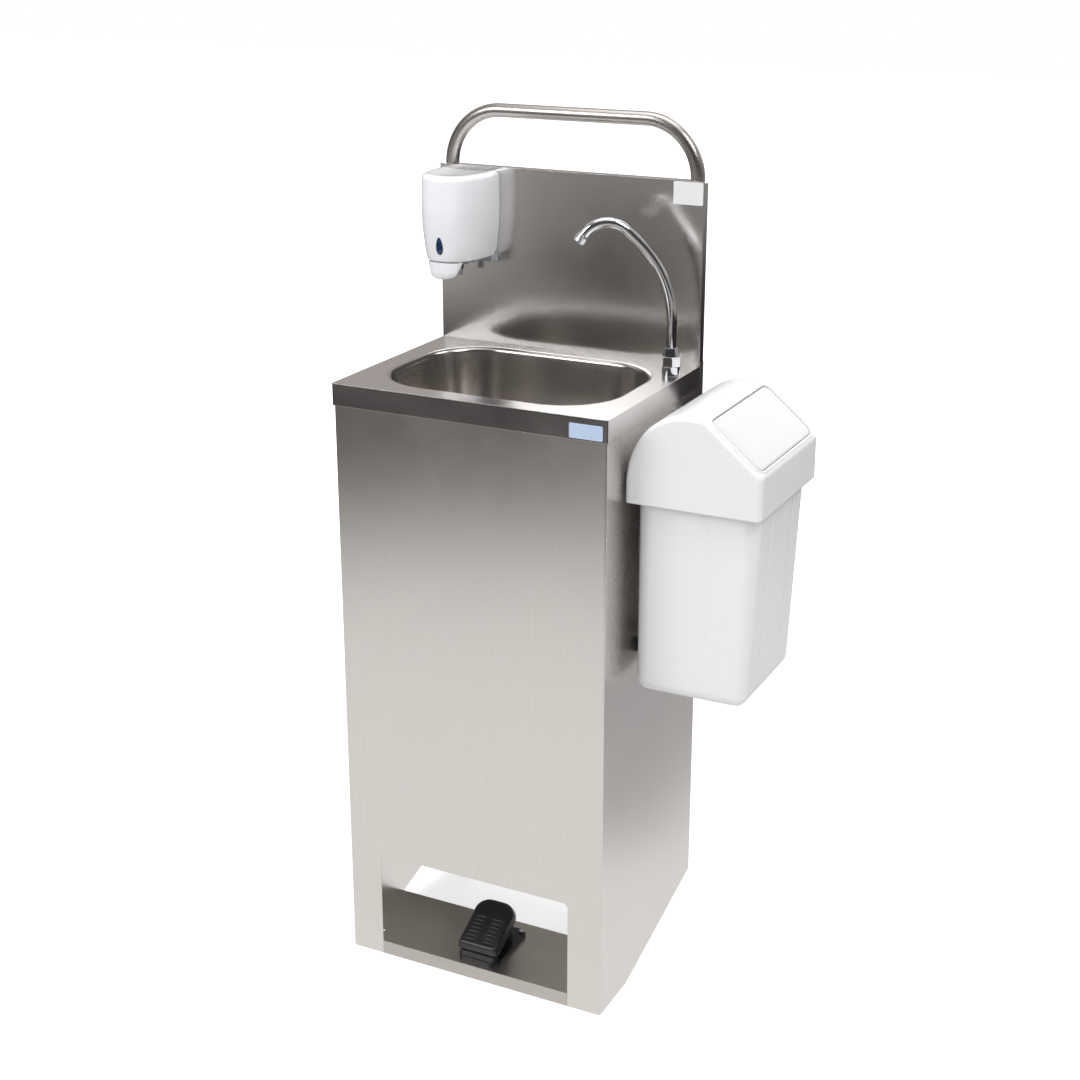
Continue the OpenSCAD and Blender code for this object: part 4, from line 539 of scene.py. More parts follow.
def bowl_circle(radius, z):
    """A circle whose points lie on the rays to the bowl's outline."""
    middle = Vector((0.0, BOWL_Y, z))
    return [middle + (p - middle).normalized() * radius for p in bowl_ring(0.06, z)]


def bowl():
    """A pressed bowl: rolled rim, soft wall and floor, with the sheet's thickness below it."""
    rings = []
    for a in range(0, 91, 15):
        a = math.radians(a)
        rings.append((BOWL_ROLL * math.sin(a), BOWL_RIM - BOWL_ROLL * (1 - math.cos(a))))
    rings += BOWL_WALL
    for a in range(8, 91, 8):
        a = math.radians(a)
        rings.append((BOWL_TURN_IN + BOWL_TURN_R * (1 - math.cos(a)), BOWL_TURN - BOWL_TURN_H * math.sin(a)))
    s = Shape()
    skin = [bowl_ring(i, z) for i, z in rings]
    skin += [bowl_ring(BOWL_FLAT, BOWL_BASE), bowl_circle(WASTE_SEAT, SEAT_Z), bowl_circle(WASTE_R, WASTE_Z)]
    skin += [bowl_circle(WASTE_R, UNDER_Z), bowl_circle(WASTE_UNDER, UNDER_Z), bowl_ring(BOWL_FLAT, UNDER_Z)]
    skin += [bowl_ring(i - BOWL_SHEET * 0.6, z - BOWL_SHEET * 0.8) for i, z in reversed(rings[UNDER_FROM:])]
    skin += [bowl_ring(i, z) for i, z in FLANGE]
    ids = s.loft(skin)
    s.strip(ids[-1], ids[0])
    s.make("bowl_pressing", "bowl_steel", "cabinet", "sink_bowl", sharp=60.0, weighted=False)


# ---------------------------------------------------------------- soap dispenser
SOAP = Vector((-0.154, 0.2895, 0.0))
SOAP_SIZES = [(0.950, 0.076, 0.0800), (0.977, 0.0840, 0.0835), (0.990, 0.0890, 0.0860), (1.020, 0.0960, 0.0890),
              (1.050, 0.0980, 0.0900), (1.096, 0.0975, 0.0880)]
SOAP_POWER, SOAP_WALL, SOAP_STEPS = 2.6, 0.0025, 48
SOAP_FOOT, SOAP_FOOT_IN = 0.9772, 0.0006
SOAP_LEVELS = [SOAP_FOOT, 0.9785, 0.9824, 0.9826, 0.990, 1.000, 1.010, 1.020, 1.030, 1.040, 1.050, 1.060, 1.070,
               1.080, 1.0870]
SOAP_DOME = [(0.0003, 1.0895), (0.0012, 1.0918), (0.0030, 1.0936), (0.0056, 1.0946), (0.0090, 1.0949),
             (0.0150, 1.0946), (0.0230, 1.0940), (0.0320, 1.0936)]
HINGE_CUT_Z, HINGE_CUT, WALL_GAP = 0.9825, -0.0048, -0.0005


def soap_size(z):
    """Width and depth of the dispenser at a height."""
    for (z0, w0, d0), (z1, w1, d1) in zip(SOAP_SIZES, SOAP_SIZES[1:]):
        if z <= z1:
            k = max(0.0, (z - z0) / (z1 - z0))
            return w0 + (w1 - w0) * k, d0 + (d1 - d0) * k
    return SOAP_SIZES[-1][1:]


def soap_front(x, z):
    """Where the dispenser's skin stands in depth at a place across it."""
    w, d = soap_size(z)
    k = min(1.0, abs(x) / (w / 2))
    return -d * (1 - k ** SOAP_POWER) ** (1 / SOAP_POWER)


def soap_curve(z, inset):
    """The U-shaped plan of the dispenser at a height, from right to left, cut away behind at the hinge."""
    w, d = soap_size(z)
    limit = HINGE_CUT if z < HINGE_CUT_Z else WALL_GAP
    out = []
    for i in range(SOAP_STEPS + 1):
        a = math.pi * i / SOAP_STEPS
        x = (w / 2 - inset) * math.copysign(abs(math.cos(a)) ** (2 / SOAP_POWER), math.cos(a))
        y = -(d - inset) * math.sin(a) ** (2 / SOAP_POWER)
        out.append(SOAP + Vector((x, min(y, limit), z)))
    return out


def soap_cover():
    """A thin shell, open below and behind, with a soft and slightly dished top."""
    s = Shape()
    outer = [s.ring(soap_curve(z, SOAP_FOOT_IN if z == SOAP_FOOT else 0.0)) for z in SOAP_LEVELS]
    inner = [s.ring(soap_curve(z, SOAP_WALL)) for z in SOAP_LEVELS]
    s.join(outer, False)
    s.join(inner, False)
    s.strip(outer[0], inner[0], False)
    s.sides(outer, inner)
    s.cap(inner[-1])
    dome = outer[-1:] + [s.ring(soap_curve(z, inset)) for inset, z in SOAP_DOME]
    s.join(dome, False)
    s.cap(dome[-1])
    s.cap([r[0] for r in dome] + [r[-1] for r in reversed(dome)] + [inner[-1][-1], inner[-1][0]])
    s.make("soap_shell", "soap_white", "cover_body", "soap_cover", sharp=50.0, weighted=False)


WINDOW_LOW, WINDOW_HIGH, WINDOW_HALF, WINDOW_STEPS = 0.9870, 1.0120, 0.0052, 48
WINDOW_TAPER, WINDOW_SWELL, WINDOW_POINT, WINDOW_MIDDLE = 0.45, 1.28, 0.92, 0.40
WINDOW_RISE = [(1.0, -0.0004), (1.0, 0.0005), (0.86, 0.0011), (0.60, 0.0015), (0.3, 0.0017)]


def soap_window():
    """A drop-shaped pane, pointed above and round below, set on the front."""
    s = Shape()
    outline = []
    for i in range(WINDOW_STEPS):
        a = 2 * math.pi * i / WINDOW_STEPS
        up = 0.5 - 0.5 * math.cos(a)
        width = WINDOW_HALF * math.sin(a) * (1.0 - WINDOW_TAPER * up) * WINDOW_SWELL
        outline.append((width, WINDOW_LOW + (WINDOW_HIGH - WINDOW_LOW) * up ** WINDOW_POINT))
    middle = WINDOW_LOW + WINDOW_MIDDLE * (WINDOW_HIGH - WINDOW_LOW)
    rings = []
    for k, out in WINDOW_RISE:
        places = [(px * k, middle + (pz - middle) * k) for px, pz in outline]
        rings.append([SOAP + Vector((x, soap_front(x, z) - out, z)) for x, z in places])
    ids = s.loft(rings)
    s.cap(ids[-1])
    s.make("soap_pane", "window_blue", "cover_body", "soap_window", weighted=False)


def box_into(s, lo, hi):
    """A plain arm with its corners taken off."""
    c = 0.0006
    mx, my, w, d = (lo[0] + hi[0]) / 2, (lo[1] + hi[1]) / 2, hi[0] - lo[0], hi[1] - lo[1]
    ids = s.loft([at_height(round_outline(mx, my, w - 2 * inset, d - 2 * inset, c, 3, 2, c), z)
                  for z, inset in ((lo[2], c), (lo[2] + c, 0.0), (hi[2] - c, 0.0), (hi[2], c))])
    s.cap(ids[0])
    s.cap(ids[-1])


LEVER_TOP, LEVER_LOW, LEVER_HALF, LEVER_TAPER, LEVER_SHEET = 0.9756, 0.9552, 0.0270, 0.0060, 0.0030
LEVER_FIT, LEVER_DIP, LEVER_LIP, LIP_FROM, LEVER_EDGE = 0.979, 0.0030, 0.0028, 0.72, 0.0016
LEVER_COLS, LEVER_ROWS = 24, 10
PIN_Y, PIN_Z = 0.2195, 0.999
PIN_PROFILE = [(0.0001, 0.0), (0.0015, 0.0), (0.0015, 0.0018), (0.0001, 0.0018)]
ARM_X, ARM_HALF, ARM_LOW = 0.0235, 0.0015, 0.9668
# Blocks of the lever by two corners (x from its middle, y, z): the finger's foot, the finger, the arms' rod.
LEVER_BLOCKS = [((-0.006, 0.2082, 0.9680), (0.006, PIN_Y + 0.0034, LEVER_TOP)),
                ((-0.006, PIN_Y - 0.006, 0.9720), (0.006, PIN_Y + 0.0046, 0.9855)),
                ((-0.0250, PIN_Y - 0.0008, 0.9700), (0.0250, PIN_Y + 0.0020, 0.9740))]


def lever_plate(s):
    """The curved plate that a hand pushes."""
    front, back = [], []
    for j in range(LEVER_ROWS + 1):
        v = j / LEVER_ROWS
        z = LEVER_TOP + (LEVER_LOW - LEVER_TOP) * v
        lip = LEVER_LIP * max(0.0, v - LIP_FROM) / (1 - LIP_FROM)
        f, b = [], []
        for i in range(LEVER_COLS + 1):
            u = -1 + 2 * i / LEVER_COLS
            x = (LEVER_HALF - LEVER_TAPER * v) * u
            zz = z - LEVER_DIP * (1 - abs(u) ** 3) * v + LEVER_DIP * v * abs(u) ** 4
            y = soap_front(x, LEVER_FIT) + 0.0004
            edge = LEVER_EDGE * (max(0.0, abs(u) - 0.9) / 0.1) ** 2
            f.append(SOAP + Vector((x, y + lip + edge, zz)))
            b.append(SOAP + Vector((x, y + LEVER_SHEET, zz)))
        front.append(s.ring(f))
        back.append(s.ring(b))
    s.join(front, False)
    s.join(back, False)
    s.strip(front[0], back[0], False)
    s.strip(front[-1], back[-1], False)
    s.sides(front, back)


def soap_lever():
    """The push plate on two arms with stub pins, with the finger for the plunger."""
    s = Shape()
    lever_plate(s)
    for side in (-1, 1):
        x = SOAP.x + side * ARM_X
        for y, top in ((PIN_Y - 0.0015, LEVER_TOP), (PIN_Y - 0.0025, 1.0030)):
            box_into(s, (x - ARM_HALF, y, ARM_LOW), (x + ARM_HALF, PIN_Y + 0.006, top))
        turned(s, PIN_PROFILE, Vector((x + side * ARM_HALF, PIN_Y, PIN_Z)), Vector((side, 0, 0)), UP, 24)
    for lo, hi in LEVER_BLOCKS:
        box_into(s, (SOAP.x + lo[0], lo[1], lo[2]), (SOAP.x + hi[0], hi[1], hi[2]))
    s.make("soap_push", "soap_white", "lever_body", "soap_lever", sharp=50.0, weighted=False)


# ---------------------------------------------------------------- bin
HOOD_X, HOOD_Y0, HOOD_Y1, HOOD_TOP, SKIRT = 0.201, 0.0405, 0.2545, 0.852, 0.730
HOOD_W, HOOD_H, HOOD_WALL, HOOD_EDGE = 0.182, 0.122, 0.0025, 0.007
HOOD_R = HOOD_X + HOOD_W
RIDGE = HOOD_X + HOOD_W * 0.572
EAVE = SKIRT + HOOD_H * 0.47
ARC_W, ARC_LOW = HOOD_W * 0.445, SKIRT + HOOD_H * 0.2
SLOPE = math.atan2(HOOD_TOP - EAVE, HOOD_R - RIDGE)
SLOPE_L = math.hypot(HOOD_TOP - EAVE, HOOD_R - RIDGE)
CREASE_R, ARC_STEPS, EDGE_STEPS = 0.012, 20, 6
HOLE_EDGE, HOLE_REAR, HOLE_R, HOLE_DEPTH = 0.0066, 0.2074, 0.0125, 0.007
RIM_EDGE, RIM_REAR, RIM_R, RIM_BEAD = 0.0045, 0.2095, 0.0145, 0.0016


def on_slope(a, b, up):
    """A point on the hood's slope: a down the slope, b along the ridge to the rear, up out of it."""
    return Vector((RIDGE + a * math.cos(SLOPE) + up * math.sin(SLOPE), HOOD_Y0 + b,
                   HOOD_TOP - a * math.sin(SLOPE) + up * math.cos(SLOPE)))


def hood_line():
    """The hood's outline seen from the front, from its lower left over the ridge to its lower right."""
    pts = [(HOOD_X, SKIRT), (HOOD_X, SKIRT + 0.004), (HOOD_X, SKIRT + 0.014)]
    for i in range(ARC_STEPS + 1):
        a = math.radians(90 * i / ARC_STEPS)
        pts.append((HOOD_X + ARC_W * (1 - math.cos(a)), ARC_LOW + (HOOD_TOP - ARC_LOW) * math.sin(a)))
    pts.append((RIDGE - 0.014, HOOD_TOP))
    pts += corner_arc((RIDGE - 0.05, HOOD_TOP), (RIDGE, HOOD_TOP), (HOOD_R, EAVE), CREASE_R)
    for k in (0.12, 0.3, 0.5, 0.7, 0.85):
        pts.append((RIDGE + (HOOD_R - RIDGE) * k, HOOD_TOP + (EAVE - HOOD_TOP) * k))
    pts += corner_arc((RIDGE, HOOD_TOP), (HOOD_R, EAVE), (HOOD_R, SKIRT), CREASE_R)
    pts += [(HOOD_R, SKIRT + up) for up in (0.030, 0.014, 0.003, 0.0)]
    return [Vector(p) for p in pts]


def drawn_in(line, inset):
    """A plane outline moved inwards; its two lower ends keep their height."""
    out = []
    for i, p in enumerate(line):
        a, b = line[max(i - 1, 0)], line[min(i + 1, len(line) - 1)]
        d = (b - a).normalized()
        q = p + Vector((d.y, -d.x)) * inset
        if p.y < SKIRT + 0.0001:
            q.y = SKIRT
        out.append(q)
    return out


def baked(obj):
    """Applies an object's modifiers to its own mesh."""
    graph = bpy.context.evaluated_depsgraph_get()
    mesh = bpy.data.meshes.new_from_object(obj.evaluated_get(graph))
    obj.modifiers.clear()
    obj.data = mesh


def slope_outline(a0, a1, b0, b1, r, up):
    """A rectangle with round corners in the plane of the slope."""
    flat = round_outline((a0 + a1) / 2, (b0 + b1) / 2, a1 - a0, b1 - b0, r, 8, 6, 0.002)
    return [on_slope(p[0], p[1], up) for p in flat]


def ring_tube(shape, path, radius, sides):
    """A round bead along a closed path."""
    n = len(path)
    middle = sum(path, Vector((0, 0, 0))) / n
    up = (path[0] - middle).cross(path[n // 4] - middle).normalized()
    ids = []
    for i in range(n):
        d = (path[(i + 1) % n] - path[i - 1]).normalized()
        side = d.cross(up).normalized()
        ids.append(shape.ring([path[i] + radius * (math.cos(a) * side + math.sin(a) * up)
                               for a in (2 * math.pi * k / sides for k in range(sides))]))
    for i in range(n):
        shape.strip(ids[i], ids[(i + 1) % n])


def slope_cutter():
    """The block that cuts the opening in the slope."""
    s = Shape()
    for ring in s.loft([slope_outline(HOLE_EDGE, SLOPE_L - HOLE_EDGE, HOLE_EDGE, HOLE_REAR, HOLE_R, up)
                        for up in (-HOLE_DEPTH, HOLE_DEPTH)]):
        s.cap(ring)
    return s.solid("cutter")


def hood():
    """A roof-shaped shell with soft edges and an opening in its slope."""
    line = hood_line()
    turns = [math.radians(90 * k / EDGE_STEPS) for k in reversed(range(EDGE_STEPS + 1))]
    levels = [(HOOD_Y0 + HOOD_EDGE * (1 - math.sin(a)), HOOD_EDGE * (1 - math.cos(a))) for a in turns]
    run = HOOD_Y1 - HOOD_Y0 - 2 * HOOD_EDGE
    body = levels + [(HOOD_Y0 + HOOD_EDGE + run * k, 0.0) for k in (0.02, 0.25, 0.5, 0.75, 0.98)]
    body += [(HOOD_Y0 + HOOD_Y1 - y, inset) for y, inset in reversed(levels)]
    s = Shape()
    ids = [s.ring([Vector((p.x, y, p.y)) for p in drawn_in(line, inset)]) for y, inset in body]
    s.join(ids, False)
    s.cap(ids[0])
    s.cap(ids[-1])
    obj = s.make("hood_shell", "bin_white", "hood_body", "bin_hood", weighted=False)
    skin = obj.modifiers.new("wall", "SOLIDIFY")
    skin.thickness = HOOD_WALL
    skin.offset = -1.0
    cutter = slope_cutter()
    hole = obj.modifiers.new("opening", "BOOLEAN")
    hole.operation = "DIFFERENCE"
    hole.object = cutter
    hole.solver = "EXACT"
    baked(obj)
    bpy.data.objects.remove(cutter)
    finish_mesh(obj, 35.0)
    edge = Shape()
    ring_tube(edge, slope_outline(RIM_EDGE, SLOPE_L - RIM_EDGE, RIM_EDGE, RIM_REAR, RIM_R, 0.0), RIM_BEAD, 12)
    edge.make("hood_rim", "bin_white", "hood_body", weighted=False)


FLAP_EDGE, FLAP_REAR, FLAP_R = 0.0072, 0.2068, 0.012
FLAP_LEVELS = [(0.0012, -0.0025), (0.0003, -0.0021), (0.0, -0.0013), (0.0003, -0.0005), (0.0012, 0.0),
               (0.004, 0.0003), (0.012, 0.0007), (0.025, 0.0010)]
KNUCKLE = [(0.00156, 0.0), (0.0036, 0.0), (0.0040, 0.0004), (0.0040, 0.0116), (0.0036, 0.0120),
           (0.00156, 0.0120)]
KNUCKLE_A, KNUCKLE_UP, KNUCKLE_STARTS = 0.012, -0.006, (0.0072, 0.1948)


def flap():
    """A pane with round corners and a soft edge, with its two knuckles on the pin."""
    s = Shape()
    ids = s.loft([slope_outline(FLAP_EDGE + inset, SLOPE_L - FLAP_EDGE - inset, FLAP_EDGE + inset,
                                FLAP_REAR - inset, max(FLAP_R - inset, 0.004), up) for inset, up in FLAP_LEVELS])
    s.cap(ids[0])
    s.cap(ids[-1])
    for b in KNUCKLE_STARTS:
        turned(s, KNUCKLE, on_slope(KNUCKLE_A, b, KNUCKLE_UP), Vector((0, 1, 0)), UP, 40)
    s.make("flap_pane", "flap_grey", "flap_body", "bin_flap")


BUCKET_X, BUCKET_Y, BUCKET_TOP, BUCKET_H = 0.211, 0.1475, 0.738, 0.272
BUCKET_W, BUCKET_L, BUCKET_R = 0.153, 0.180, 0.016
BUCKET_W_FLARE, BUCKET_L_FLARE, BUCKET_R_FLARE = 0.011, 0.012, 0.006
BUCKET_TURN, GROOVE, ON_FACE = 0.016, 0.0012, 0.0002
FRONT_GROOVE, SIDE_GROOVE, SIDE_LINE = 0.62, 0.74, 0.30
# Rings of the bucket: the turn of its floor (inset, height above it), its wall (share of the height, groove),
# its rolled rim (inset, height above the top) and its inside (share, inset, height above the floor).
FLOOR_TURN = [(0.030, 0.0), (0.0150, 0.0), (0.0108, 0.0006), (0.0068, 0.0024), (0.0036, 0.0056),
              (0.0012, 0.0104), (0.0, BUCKET_TURN)]
WALL_RINGS = [(0.10, 0.0), (0.12, GROOVE), (0.4, GROOVE), (0.7, GROOVE), (0.93, GROOVE), (0.95, 0.0)]
RIM_RINGS = [(0.0, -0.0045), (-0.0024, -0.0040), (-0.0030, -0.0032), (-0.0030, -0.0010), (-0.0022, 0.0),
             (0.0016, 0.0), (0.0026, -0.0010)]
INNER_RINGS = [(0.05, 0.0040, 0.020), (0.0, 0.0075, 0.0090), (0.0, 0.0160, 0.0030), (0.0, 0.030, 0.0026)]
LUG_X, LUG_OUT, LUG_HALF, LUG_SHEET, LUG_DROP = 0.2010, 0.2135, 0.029, 0.0025, 0.028
LUG_TOP = BUCKET_TOP - 0.040 - 0.062 + 0.034 + 0.0002 + LUG_SHEET


def bump(v, at, half):
    return max(0.0, 1.0 - abs(v - at) / half)


def ramp(v, at):
    return min(1.0, max(0.0, (v - at) / 0.05)) * min(1.0, max(0.0, (0.985 - v) / 0.03))


def bucket_line(k, inset, groove=0.0):
    """The bucket's outline at a share of its height, with a faint groove in front and two in its right side."""
    w = BUCKET_W + BUCKET_W_FLARE * k - 2 * inset
    l = BUCKET_L + BUCKET_L_FLARE * k - 2 * inset
    r = max(BUCKET_R + BUCKET_R_FLARE * k - inset * 0.8, 0.003)
    cx = BUCKET_X + inset + w / 2
    out = []
    for p in round_outline(cx, BUCKET_Y, w, l, r, 8, 48, 0.002):
        q = p.copy()
        if groove > 0.0:
            x = (p.x - BUCKET_X) / (w + 2 * inset)
            y = (p.y - (BUCKET_Y - l / 2)) / l
            if abs(p.y - (BUCKET_Y - l / 2)) < ON_FACE:
                q.y += groove * (bump(x, FRONT_GROOVE, 0.02) + 0.35 * ramp(x, FRONT_GROOVE))
            if abs(p.x - (cx + w / 2)) < ON_FACE:
                q.x -= groove * (0.9 * bump(y, SIDE_GROOVE, 0.022) + 0.5 * ramp(y, SIDE_GROOVE)
                                 + 0.4 * bump(y, SIDE_LINE, 0.03))
        out.append(q)
    return out


def bucket():
    """A tapered tub with soft corners, a rolled rim, a lug behind and the faint grooves of its mould."""
    floor = BUCKET_TOP - BUCKET_H
    wall_h = BUCKET_H - 0.020
    rings = [at_height(bucket_line(0.0, inset), floor + z) for inset, z in FLOOR_TURN]
    rings += [at_height(bucket_line(k, 0.0, g), floor + BUCKET_TURN + wall_h * k) for k, g in WALL_RINGS]
    rings += [at_height(bucket_line(1.0, inset), BUCKET_TOP + z) for inset, z in RIM_RINGS]
    rings.append(at_height(bucket_line(0.95, 0.0026), floor + BUCKET_TURN + wall_h * 0.95))
    rings += [at_height(bucket_line(k, inset), floor + z) for k, inset, z in INNER_RINGS]
    s = Shape()
    ids = s.loft(rings)
    s.cap(ids[0])
    s.cap(ids[-1])
    y0, y1 = BUCKET_Y - LUG_HALF, BUCKET_Y + LUG_HALF
    box_into(s, (LUG_X, y0, LUG_TOP - LUG_SHEET), (LUG_OUT, y1, LUG_TOP))
    box_into(s, (LUG_X, y0, LUG_TOP - LUG_DROP), (LUG_X + LUG_SHEET, y1, LUG_TOP))
    s.make("bucket_shell", "bin_white", "bucket_body", "bin_bucket")


# ---------------------------------------------------------------- pedal
PIVOT = Vector((0.0, 0.0115, 0.040))
TILT = math.radians(28)
TREADLE_W, HEEL, TOE, HEEL_R, TOE_R = 0.064, -0.008, 0.076, 0.007, 0.021
TOE_BOW, BOW_FROM, BOW_RUN = 0.0022, 0.05, 0.026
LONG_EDGE, EDGE_SUPPORT, EDGE_PARTS = 0.008, 0.0012, 8
SKIRT_LOW = -0.0034
# Rings of the cap and of its inside as (inset, height, crown); those below 0 end at the floor plate.
CAP_RINGS = [(0.0002, -0.0030, 0.0), (0.0, -0.0024, 0.0), (0.0006, 0.0020, 0.0), (0.0018, 0.0068, 0.0),
             (0.0026, 0.0088, 0.0), (0.0040, 0.0103, 0.0), (0.0062, 0.0110, 0.0), (0.0085, 0.0110, 0.0),
             (0.0100, 0.0107, 0.0001), (0.0180, 0.0107, 0.0002)]
INSIDE_RINGS = [(0.0030, -0.0030, 0.0), (0.0034, 0.0040, 0.0), (0.0042, 0.0068, 0.0), (0.0120, 0.0070, 0.0)]
BALL_R, BALL_Y, BALL_TOP_R, BALL_TOP = 0.007, 0.0625, 0.0069, 0.0075
BALL_Z = 0.0252 + 0.032 + 0.0003 + BALL_R
RIB_X, RIB_FROM, RIB_PITCH, RIB_COUNT, RIB_Z = 0.0135, 0.0050, 0.0063, 7, 0.0105
RIB_HALF, RIB_WIDE, RIB_HIGH, RIB_SINK, RIB_PARTS = 0.0098, 0.0012, 0.0016, 0.0004, 8


def on_treadle(x, y, z):
    """A point in the treadle's own frame: y up its slope, z out of its top."""
    return PIVOT + Vector((x, y * math.cos(TILT) - z * math.sin(TILT), y * math.sin(TILT) + z * math.cos(TILT)))


def treadle_line(inset):
    """The treadle's plan: nearly square at the heel, round at the toe."""
    w = TREADLE_W - 2 * inset
    low, high = HEEL + inset, TOE - inset
    r0, r1 = max(HEEL_R - inset, 0.002), max(TOE_R - inset, 0.004)
    out = []
    for cx, cy, r, start in ((w / 2 - r1, high - r1, r1, 0), (-w / 2 + r1, high - r1, r1, 90),
                             (-w / 2 + r0, low + r0, r0, 180), (w / 2 - r0, low + r0, r0, 270)):
        for i in range(11):
            a = math.radians(start + 9 * i)
            out.append(Vector((cx + r * math.cos(a), cy + r * math.sin(a))))
    dense = []
    for a, b in zip(out, out[1:] + out[:1]):
        dense.append(a)
        if (b - a).length > LONG_EDGE:
            s = EDGE_SUPPORT / (b - a).length
            dense += [a.lerp(b, s + (1 - 2 * s) * i / EDGE_PARTS) for i in range(EDGE_PARTS + 1)]
    for p in dense:
        toe = max(0.0, (p.y - BOW_FROM) / BOW_RUN)
        p.y += TOE_BOW * (1 - (2 * p.x / w) ** 2) * toe - TOE_BOW * toe
    return dense


def treadle_ring(inset, z, crown):
    """The plan at a height, kept above the floor plate and raised along its middle."""
    ring = []
    for p in treadle_line(inset):
        up = z if z >= 0.0 else max(z, (SKIRT_LOW - p.y * math.sin(TILT)) / math.cos(TILT))
        ring.append(on_treadle(p.x, p.y, up + crown * (1 - (p.x / (TREADLE_W / 2)) ** 2)))
    return ring


def treadle_ball(s):
    """The ball under the cap that rides on the bellows."""
    back, up = BALL_Y - PIVOT.y, BALL_Z - PIVOT.z
    y = back * math.cos(TILT) + up * math.sin(TILT)
    z = up * math.cos(TILT) - back * math.sin(TILT)
    turns = [math.radians(a) for a in range(0, 90, 9)]
    profile = [(BALL_TOP_R, BALL_TOP)] + [(BALL_R * math.cos(a), z - BALL_R * math.sin(a)) for a in turns]
    profile.append((0.0002, z - BALL_R))
    place = on_treadle(0.0, y, 0.0)
    turned(s, profile, place, (on_treadle(0.0, y, 1.0) - place).normalized(), Vector((1, 0, 0)), 40)


def rib(s, x, y, z):
    """A low rounded bar across the treadle."""
    turns = [math.pi * j / RIB_PARTS for j in range(RIB_PARTS + 1)]
    ids = []
    for i in range(RIB_PARTS + 1):
        u = -1 + 2 * i / RIB_PARTS
        k = math.sqrt(max(0.0, 1 - abs(u) ** 6)) * 0.98 + 0.02
        ids.append(s.ring([on_treadle(x + RIB_HALF * u, y + RIB_WIDE * k * math.cos(a),
                                      z + RIB_HIGH * k * math.sin(a) - RIB_SINK) for a in turns]))
    s.join(ids, False)
    s.cap(ids[0])
    s.cap(ids[-1])


def treadle():
    """A ribbed cap with a flared skirt, a soft top edge and its ball."""
    s = Shape()
    outer = s.loft([treadle_ring(*level) for level in CAP_RINGS])
    inner = s.loft([treadle_ring(*level) for level in INSIDE_RINGS])
    s.strip(outer[0], inner[0])
    s.cap(outer[-1])
    s.cap(inner[-1])
    for side in (-1, 1):
        for i in range(RIB_COUNT):
            rib(s, side * RIB_X, RIB_FROM + RIB_PITCH * i, RIB_Z)
    treadle_ball(s)
    s.make("treadle_cap", "pump_plastic", "treadle_body", "pump_treadle", sharp=55.0, weighted=False)


# ---------------------------------------------------------------- containers
CAN_EDGE, CAN_CREASE = 0.006, math.radians(50)


def soften(obj):
    """Rounds the edges of a blow-moulded container."""
    soft = obj.modifiers.new("soft_edges", "BEVEL")
    soft.width = CAN_EDGE
    soft.segments = 3
    soft.limit_method = "ANGLE"
    soft.angle_limit = CAN_CREASE
    soft.use_clamp_overlap = True


push_handle()
spout()
bowl()
soap_cover()
soap_window()
soap_lever()
hood()
flap()
bucket()
treadle()
soften(NODES["clean_jerrycan"])
soften(NODES["waste_jerrycan"])


# ---------------------------------------------------------------- ground
GROUND_SIZE, GROUND_DROP = 14.0, 0.0004
# Tones of the painted reflection that metal sees in the floor: a lit sheet and a painted shaded sheet, a dark and a
# pale hall, a panel and a strip.
SHEET_LIT, SHEET_SHADED = rgb(0.90, 0.89, 0.87), rgb(0.46, 0.45, 0.46)
HALL_DARK, HALL_PALE = rgb(0.030, 0.027, 0.027), rgb(0.30, 0.29, 0.28)
REFLECTED_PANEL, REFLECTED_STRIP = rgb(0.62, 0.60, 0.585), rgb(0.40, 0.38, 0.37)


def mirrored_ground(t, x, y, away):
    """A painted reflection of the floor, seen only by metal: a pale sheet with a painted shaded patch, a dark hall,
    and in front of it a panel and a strip.
    """
    hall = t.blend(t.span(away, 4.6, 7.5), HALL_DARK, HALL_PALE)
    slant = t.math("DIVIDE", x, t.math("MINIMUM", y, -0.5))
    panel = t.math("MULTIPLY", t.span(slant, 0.545, 0.625), t.span(y, -3.0, -3.5))
    hall = t.blend(panel, hall, REFLECTED_PANEL)
    strip = t.math("MULTIPLY", t.span(slant, 0.385, 0.355), t.span(y, -3.0, -3.5))
    hall = t.blend(strip, hall, REFLECTED_STRIP)
    # Painted shade: the reflected sheet is darker to the right of and behind the unit.
    side = t.math("MULTIPLY", t.span(x, 0.25, 0.45), t.span(y, 0.25, 0.55))
    return t.blend(t.span(away, 1.45, 2.5), t.blend(side, SHEET_LIT, SHEET_SHADED), hall)


def ground():
    """White to the camera, with the object's shadow; to metal a glowing painted reflection of a pale sheet, with a
    painted shaded patch and a darker hall beyond it.
    """
    g = GROUND_SIZE
    mesh = bpy.data.meshes.new("ground")
    mesh.from_pydata([(-g, -g, 0), (g, -g, 0), (g, g, 0), (-g, g, 0)], [], [(0, 1, 2, 3)])
    obj = linked("ground", mesh)
    obj.location = (0, 0, -GROUND_DROP)
    mat = bpy.data.materials.new("ground")
    t = empty_tree(mat)
    out = t.add("ShaderNodeOutputMaterial")
    x, y, _ = t.split(t.coords())
    away = t.math("SQRT", t.math("ADD", t.math("MULTIPLY", x, x), t.math("MULTIPLY", y, y)))
    # Painted reflection: the floor glows in these tones for glossy rays only.
    mirrored = t.shade("ShaderNodeEmission", mirrored_ground(t, x, y, away))
    plain = t.shade("ShaderNodeBsdfDiffuse", grey(0.62))
    lift = t.shade("ShaderNodeEmission", t.blend(t.span(away, 0.5, 1.9), grey(0.66), grey(1.0)))
    seen = t.add("ShaderNodeAddShader")
    t.put(seen.inputs[0], plain)
    t.put(seen.inputs[1], lift)
    t.put(out.inputs["Surface"], t.by_ray(plain, mirrored, seen.outputs[0]))
    obj.data.materials.append(mat)


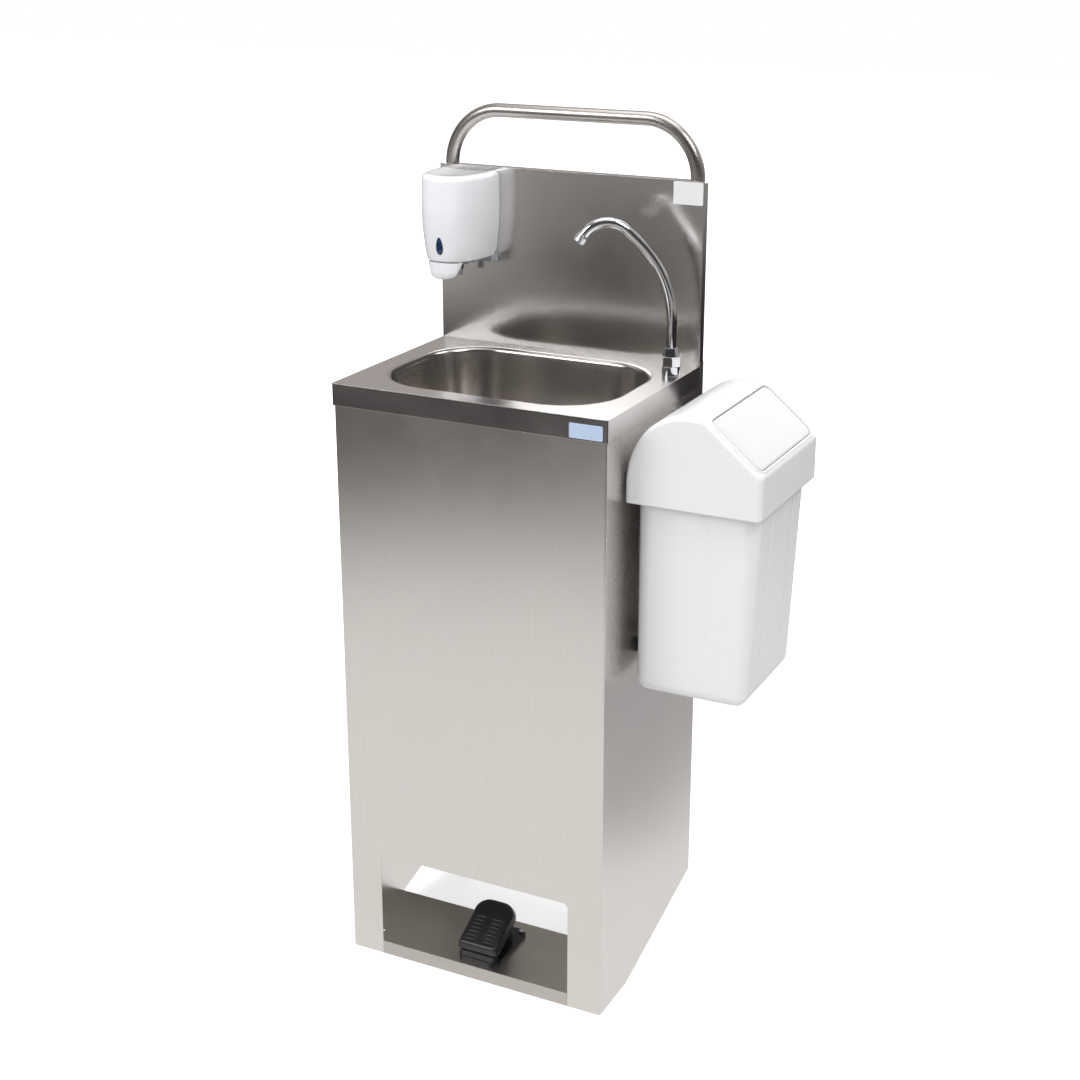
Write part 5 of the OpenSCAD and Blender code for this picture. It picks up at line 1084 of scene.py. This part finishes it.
FRONT_LOW, FRONT_HIGH = rgb(0.045, 0.042, 0.045), rgb(0.20, 0.19, 0.185)
BACK_LOW, BACK_HIGH = rgb(0.30, 0.28, 0.27), rgb(0.50, 0.465, 0.44)
CEILING, EVEN_LIGHT = rgb(0.50, 0.48, 0.46), rgb(0.72, 0.72, 0.73)


def sky():
    """White to the camera; to metal a hall with dim walls and a pale ceiling; to the rest an even light."""
    world = bpy.data.worlds.new("hall")
    bpy.context.scene.world = world
    t = empty_tree(world)
    out = t.add("ShaderNodeOutputWorld")
    _, y, z = t.split(t.add("ShaderNodeTexCoord").outputs["Generated"])
    front = t.blend(t.span(z, 0.30, 0.75), FRONT_LOW, FRONT_HIGH)
    back = t.blend(t.span(z, 0.05, 0.35), BACK_LOW, BACK_HIGH)
    wall = t.blend(t.span(y, -0.35, 0.30), front, back)
    mirrored = t.shade("ShaderNodeBackground", t.blend(t.span(z, 0.70, 0.92), wall, CEILING))
    even = t.shade("ShaderNodeBackground", EVEN_LIGHT)
    white = t.shade("ShaderNodeBackground", grey(1.0))
    t.put(out.inputs["Surface"], t.by_ray(even, mirrored, white))


# ---------------------------------------------------------------- lamps and camera
# Lamps as (name, place, target, side of the square in metres, watts).
LAMPS = [("key", (-1.6, -2.2, 2.6), (0.0, 0.1, 0.7), 1.6, 40.0),
         ("fill", (1.55, -0.45, 2.45), (0.1, 0.1, 0.7), 0.8, 15.0),
         ("top", (0.0, 0.3, 3.4), (0.0, 0.1, 0.7), 2.2, 26.0),
         ("rear", (0.6, 2.6, 2.0), (0.0, 0.1, 0.7), 1.6, 16.0)]
AZIMUTH, ELEVATION, DISTANCE, LOOK_AT = 26.59, 18.64, 2.446, (0.026, 0.1525, 0.673)
FOCAL_PX, CENTRE_Y, FRAME_PX, SENSOR_MM = 1786.0, 500.0, 1080.0, 36.0


def lamp(name, place, target, size, power):
    data = bpy.data.lights.new(name, "AREA")
    data.shape = "RECTANGLE"
    data.size = data.size_y = size
    data.energy = power
    obj = linked(name, data)
    obj.location = place
    obj.rotation_euler = (Vector(target) - Vector(place)).to_track_quat("-Z", "Y").to_euler()


def camera():
    """The photograph's view; its focal length is given in pixels of the frame."""
    data = bpy.data.cameras.new("camera")
    data.sensor_fit = "HORIZONTAL"
    data.sensor_width = SENSOR_MM
    data.lens = SENSOR_MM * FOCAL_PX / FRAME_PX
    data.shift_y = -(FRAME_PX / 2 - CENTRE_Y) / FRAME_PX
    data.clip_end = 60.0
    obj = linked("camera", data)
    a, e = math.radians(AZIMUTH), math.radians(ELEVATION)
    back = Vector((math.sin(a) * math.cos(e), -math.cos(a) * math.cos(e), math.sin(e)))
    obj.location = Vector(LOOK_AT) + back * DISTANCE
    obj.rotation_euler = back.to_track_quat("Z", "Y").to_euler()
    bpy.context.scene.camera = obj


ground()
sky()
camera()
for values in LAMPS:
    lamp(*values)

bpy.context.scene.view_settings.view_transform = "Standard"
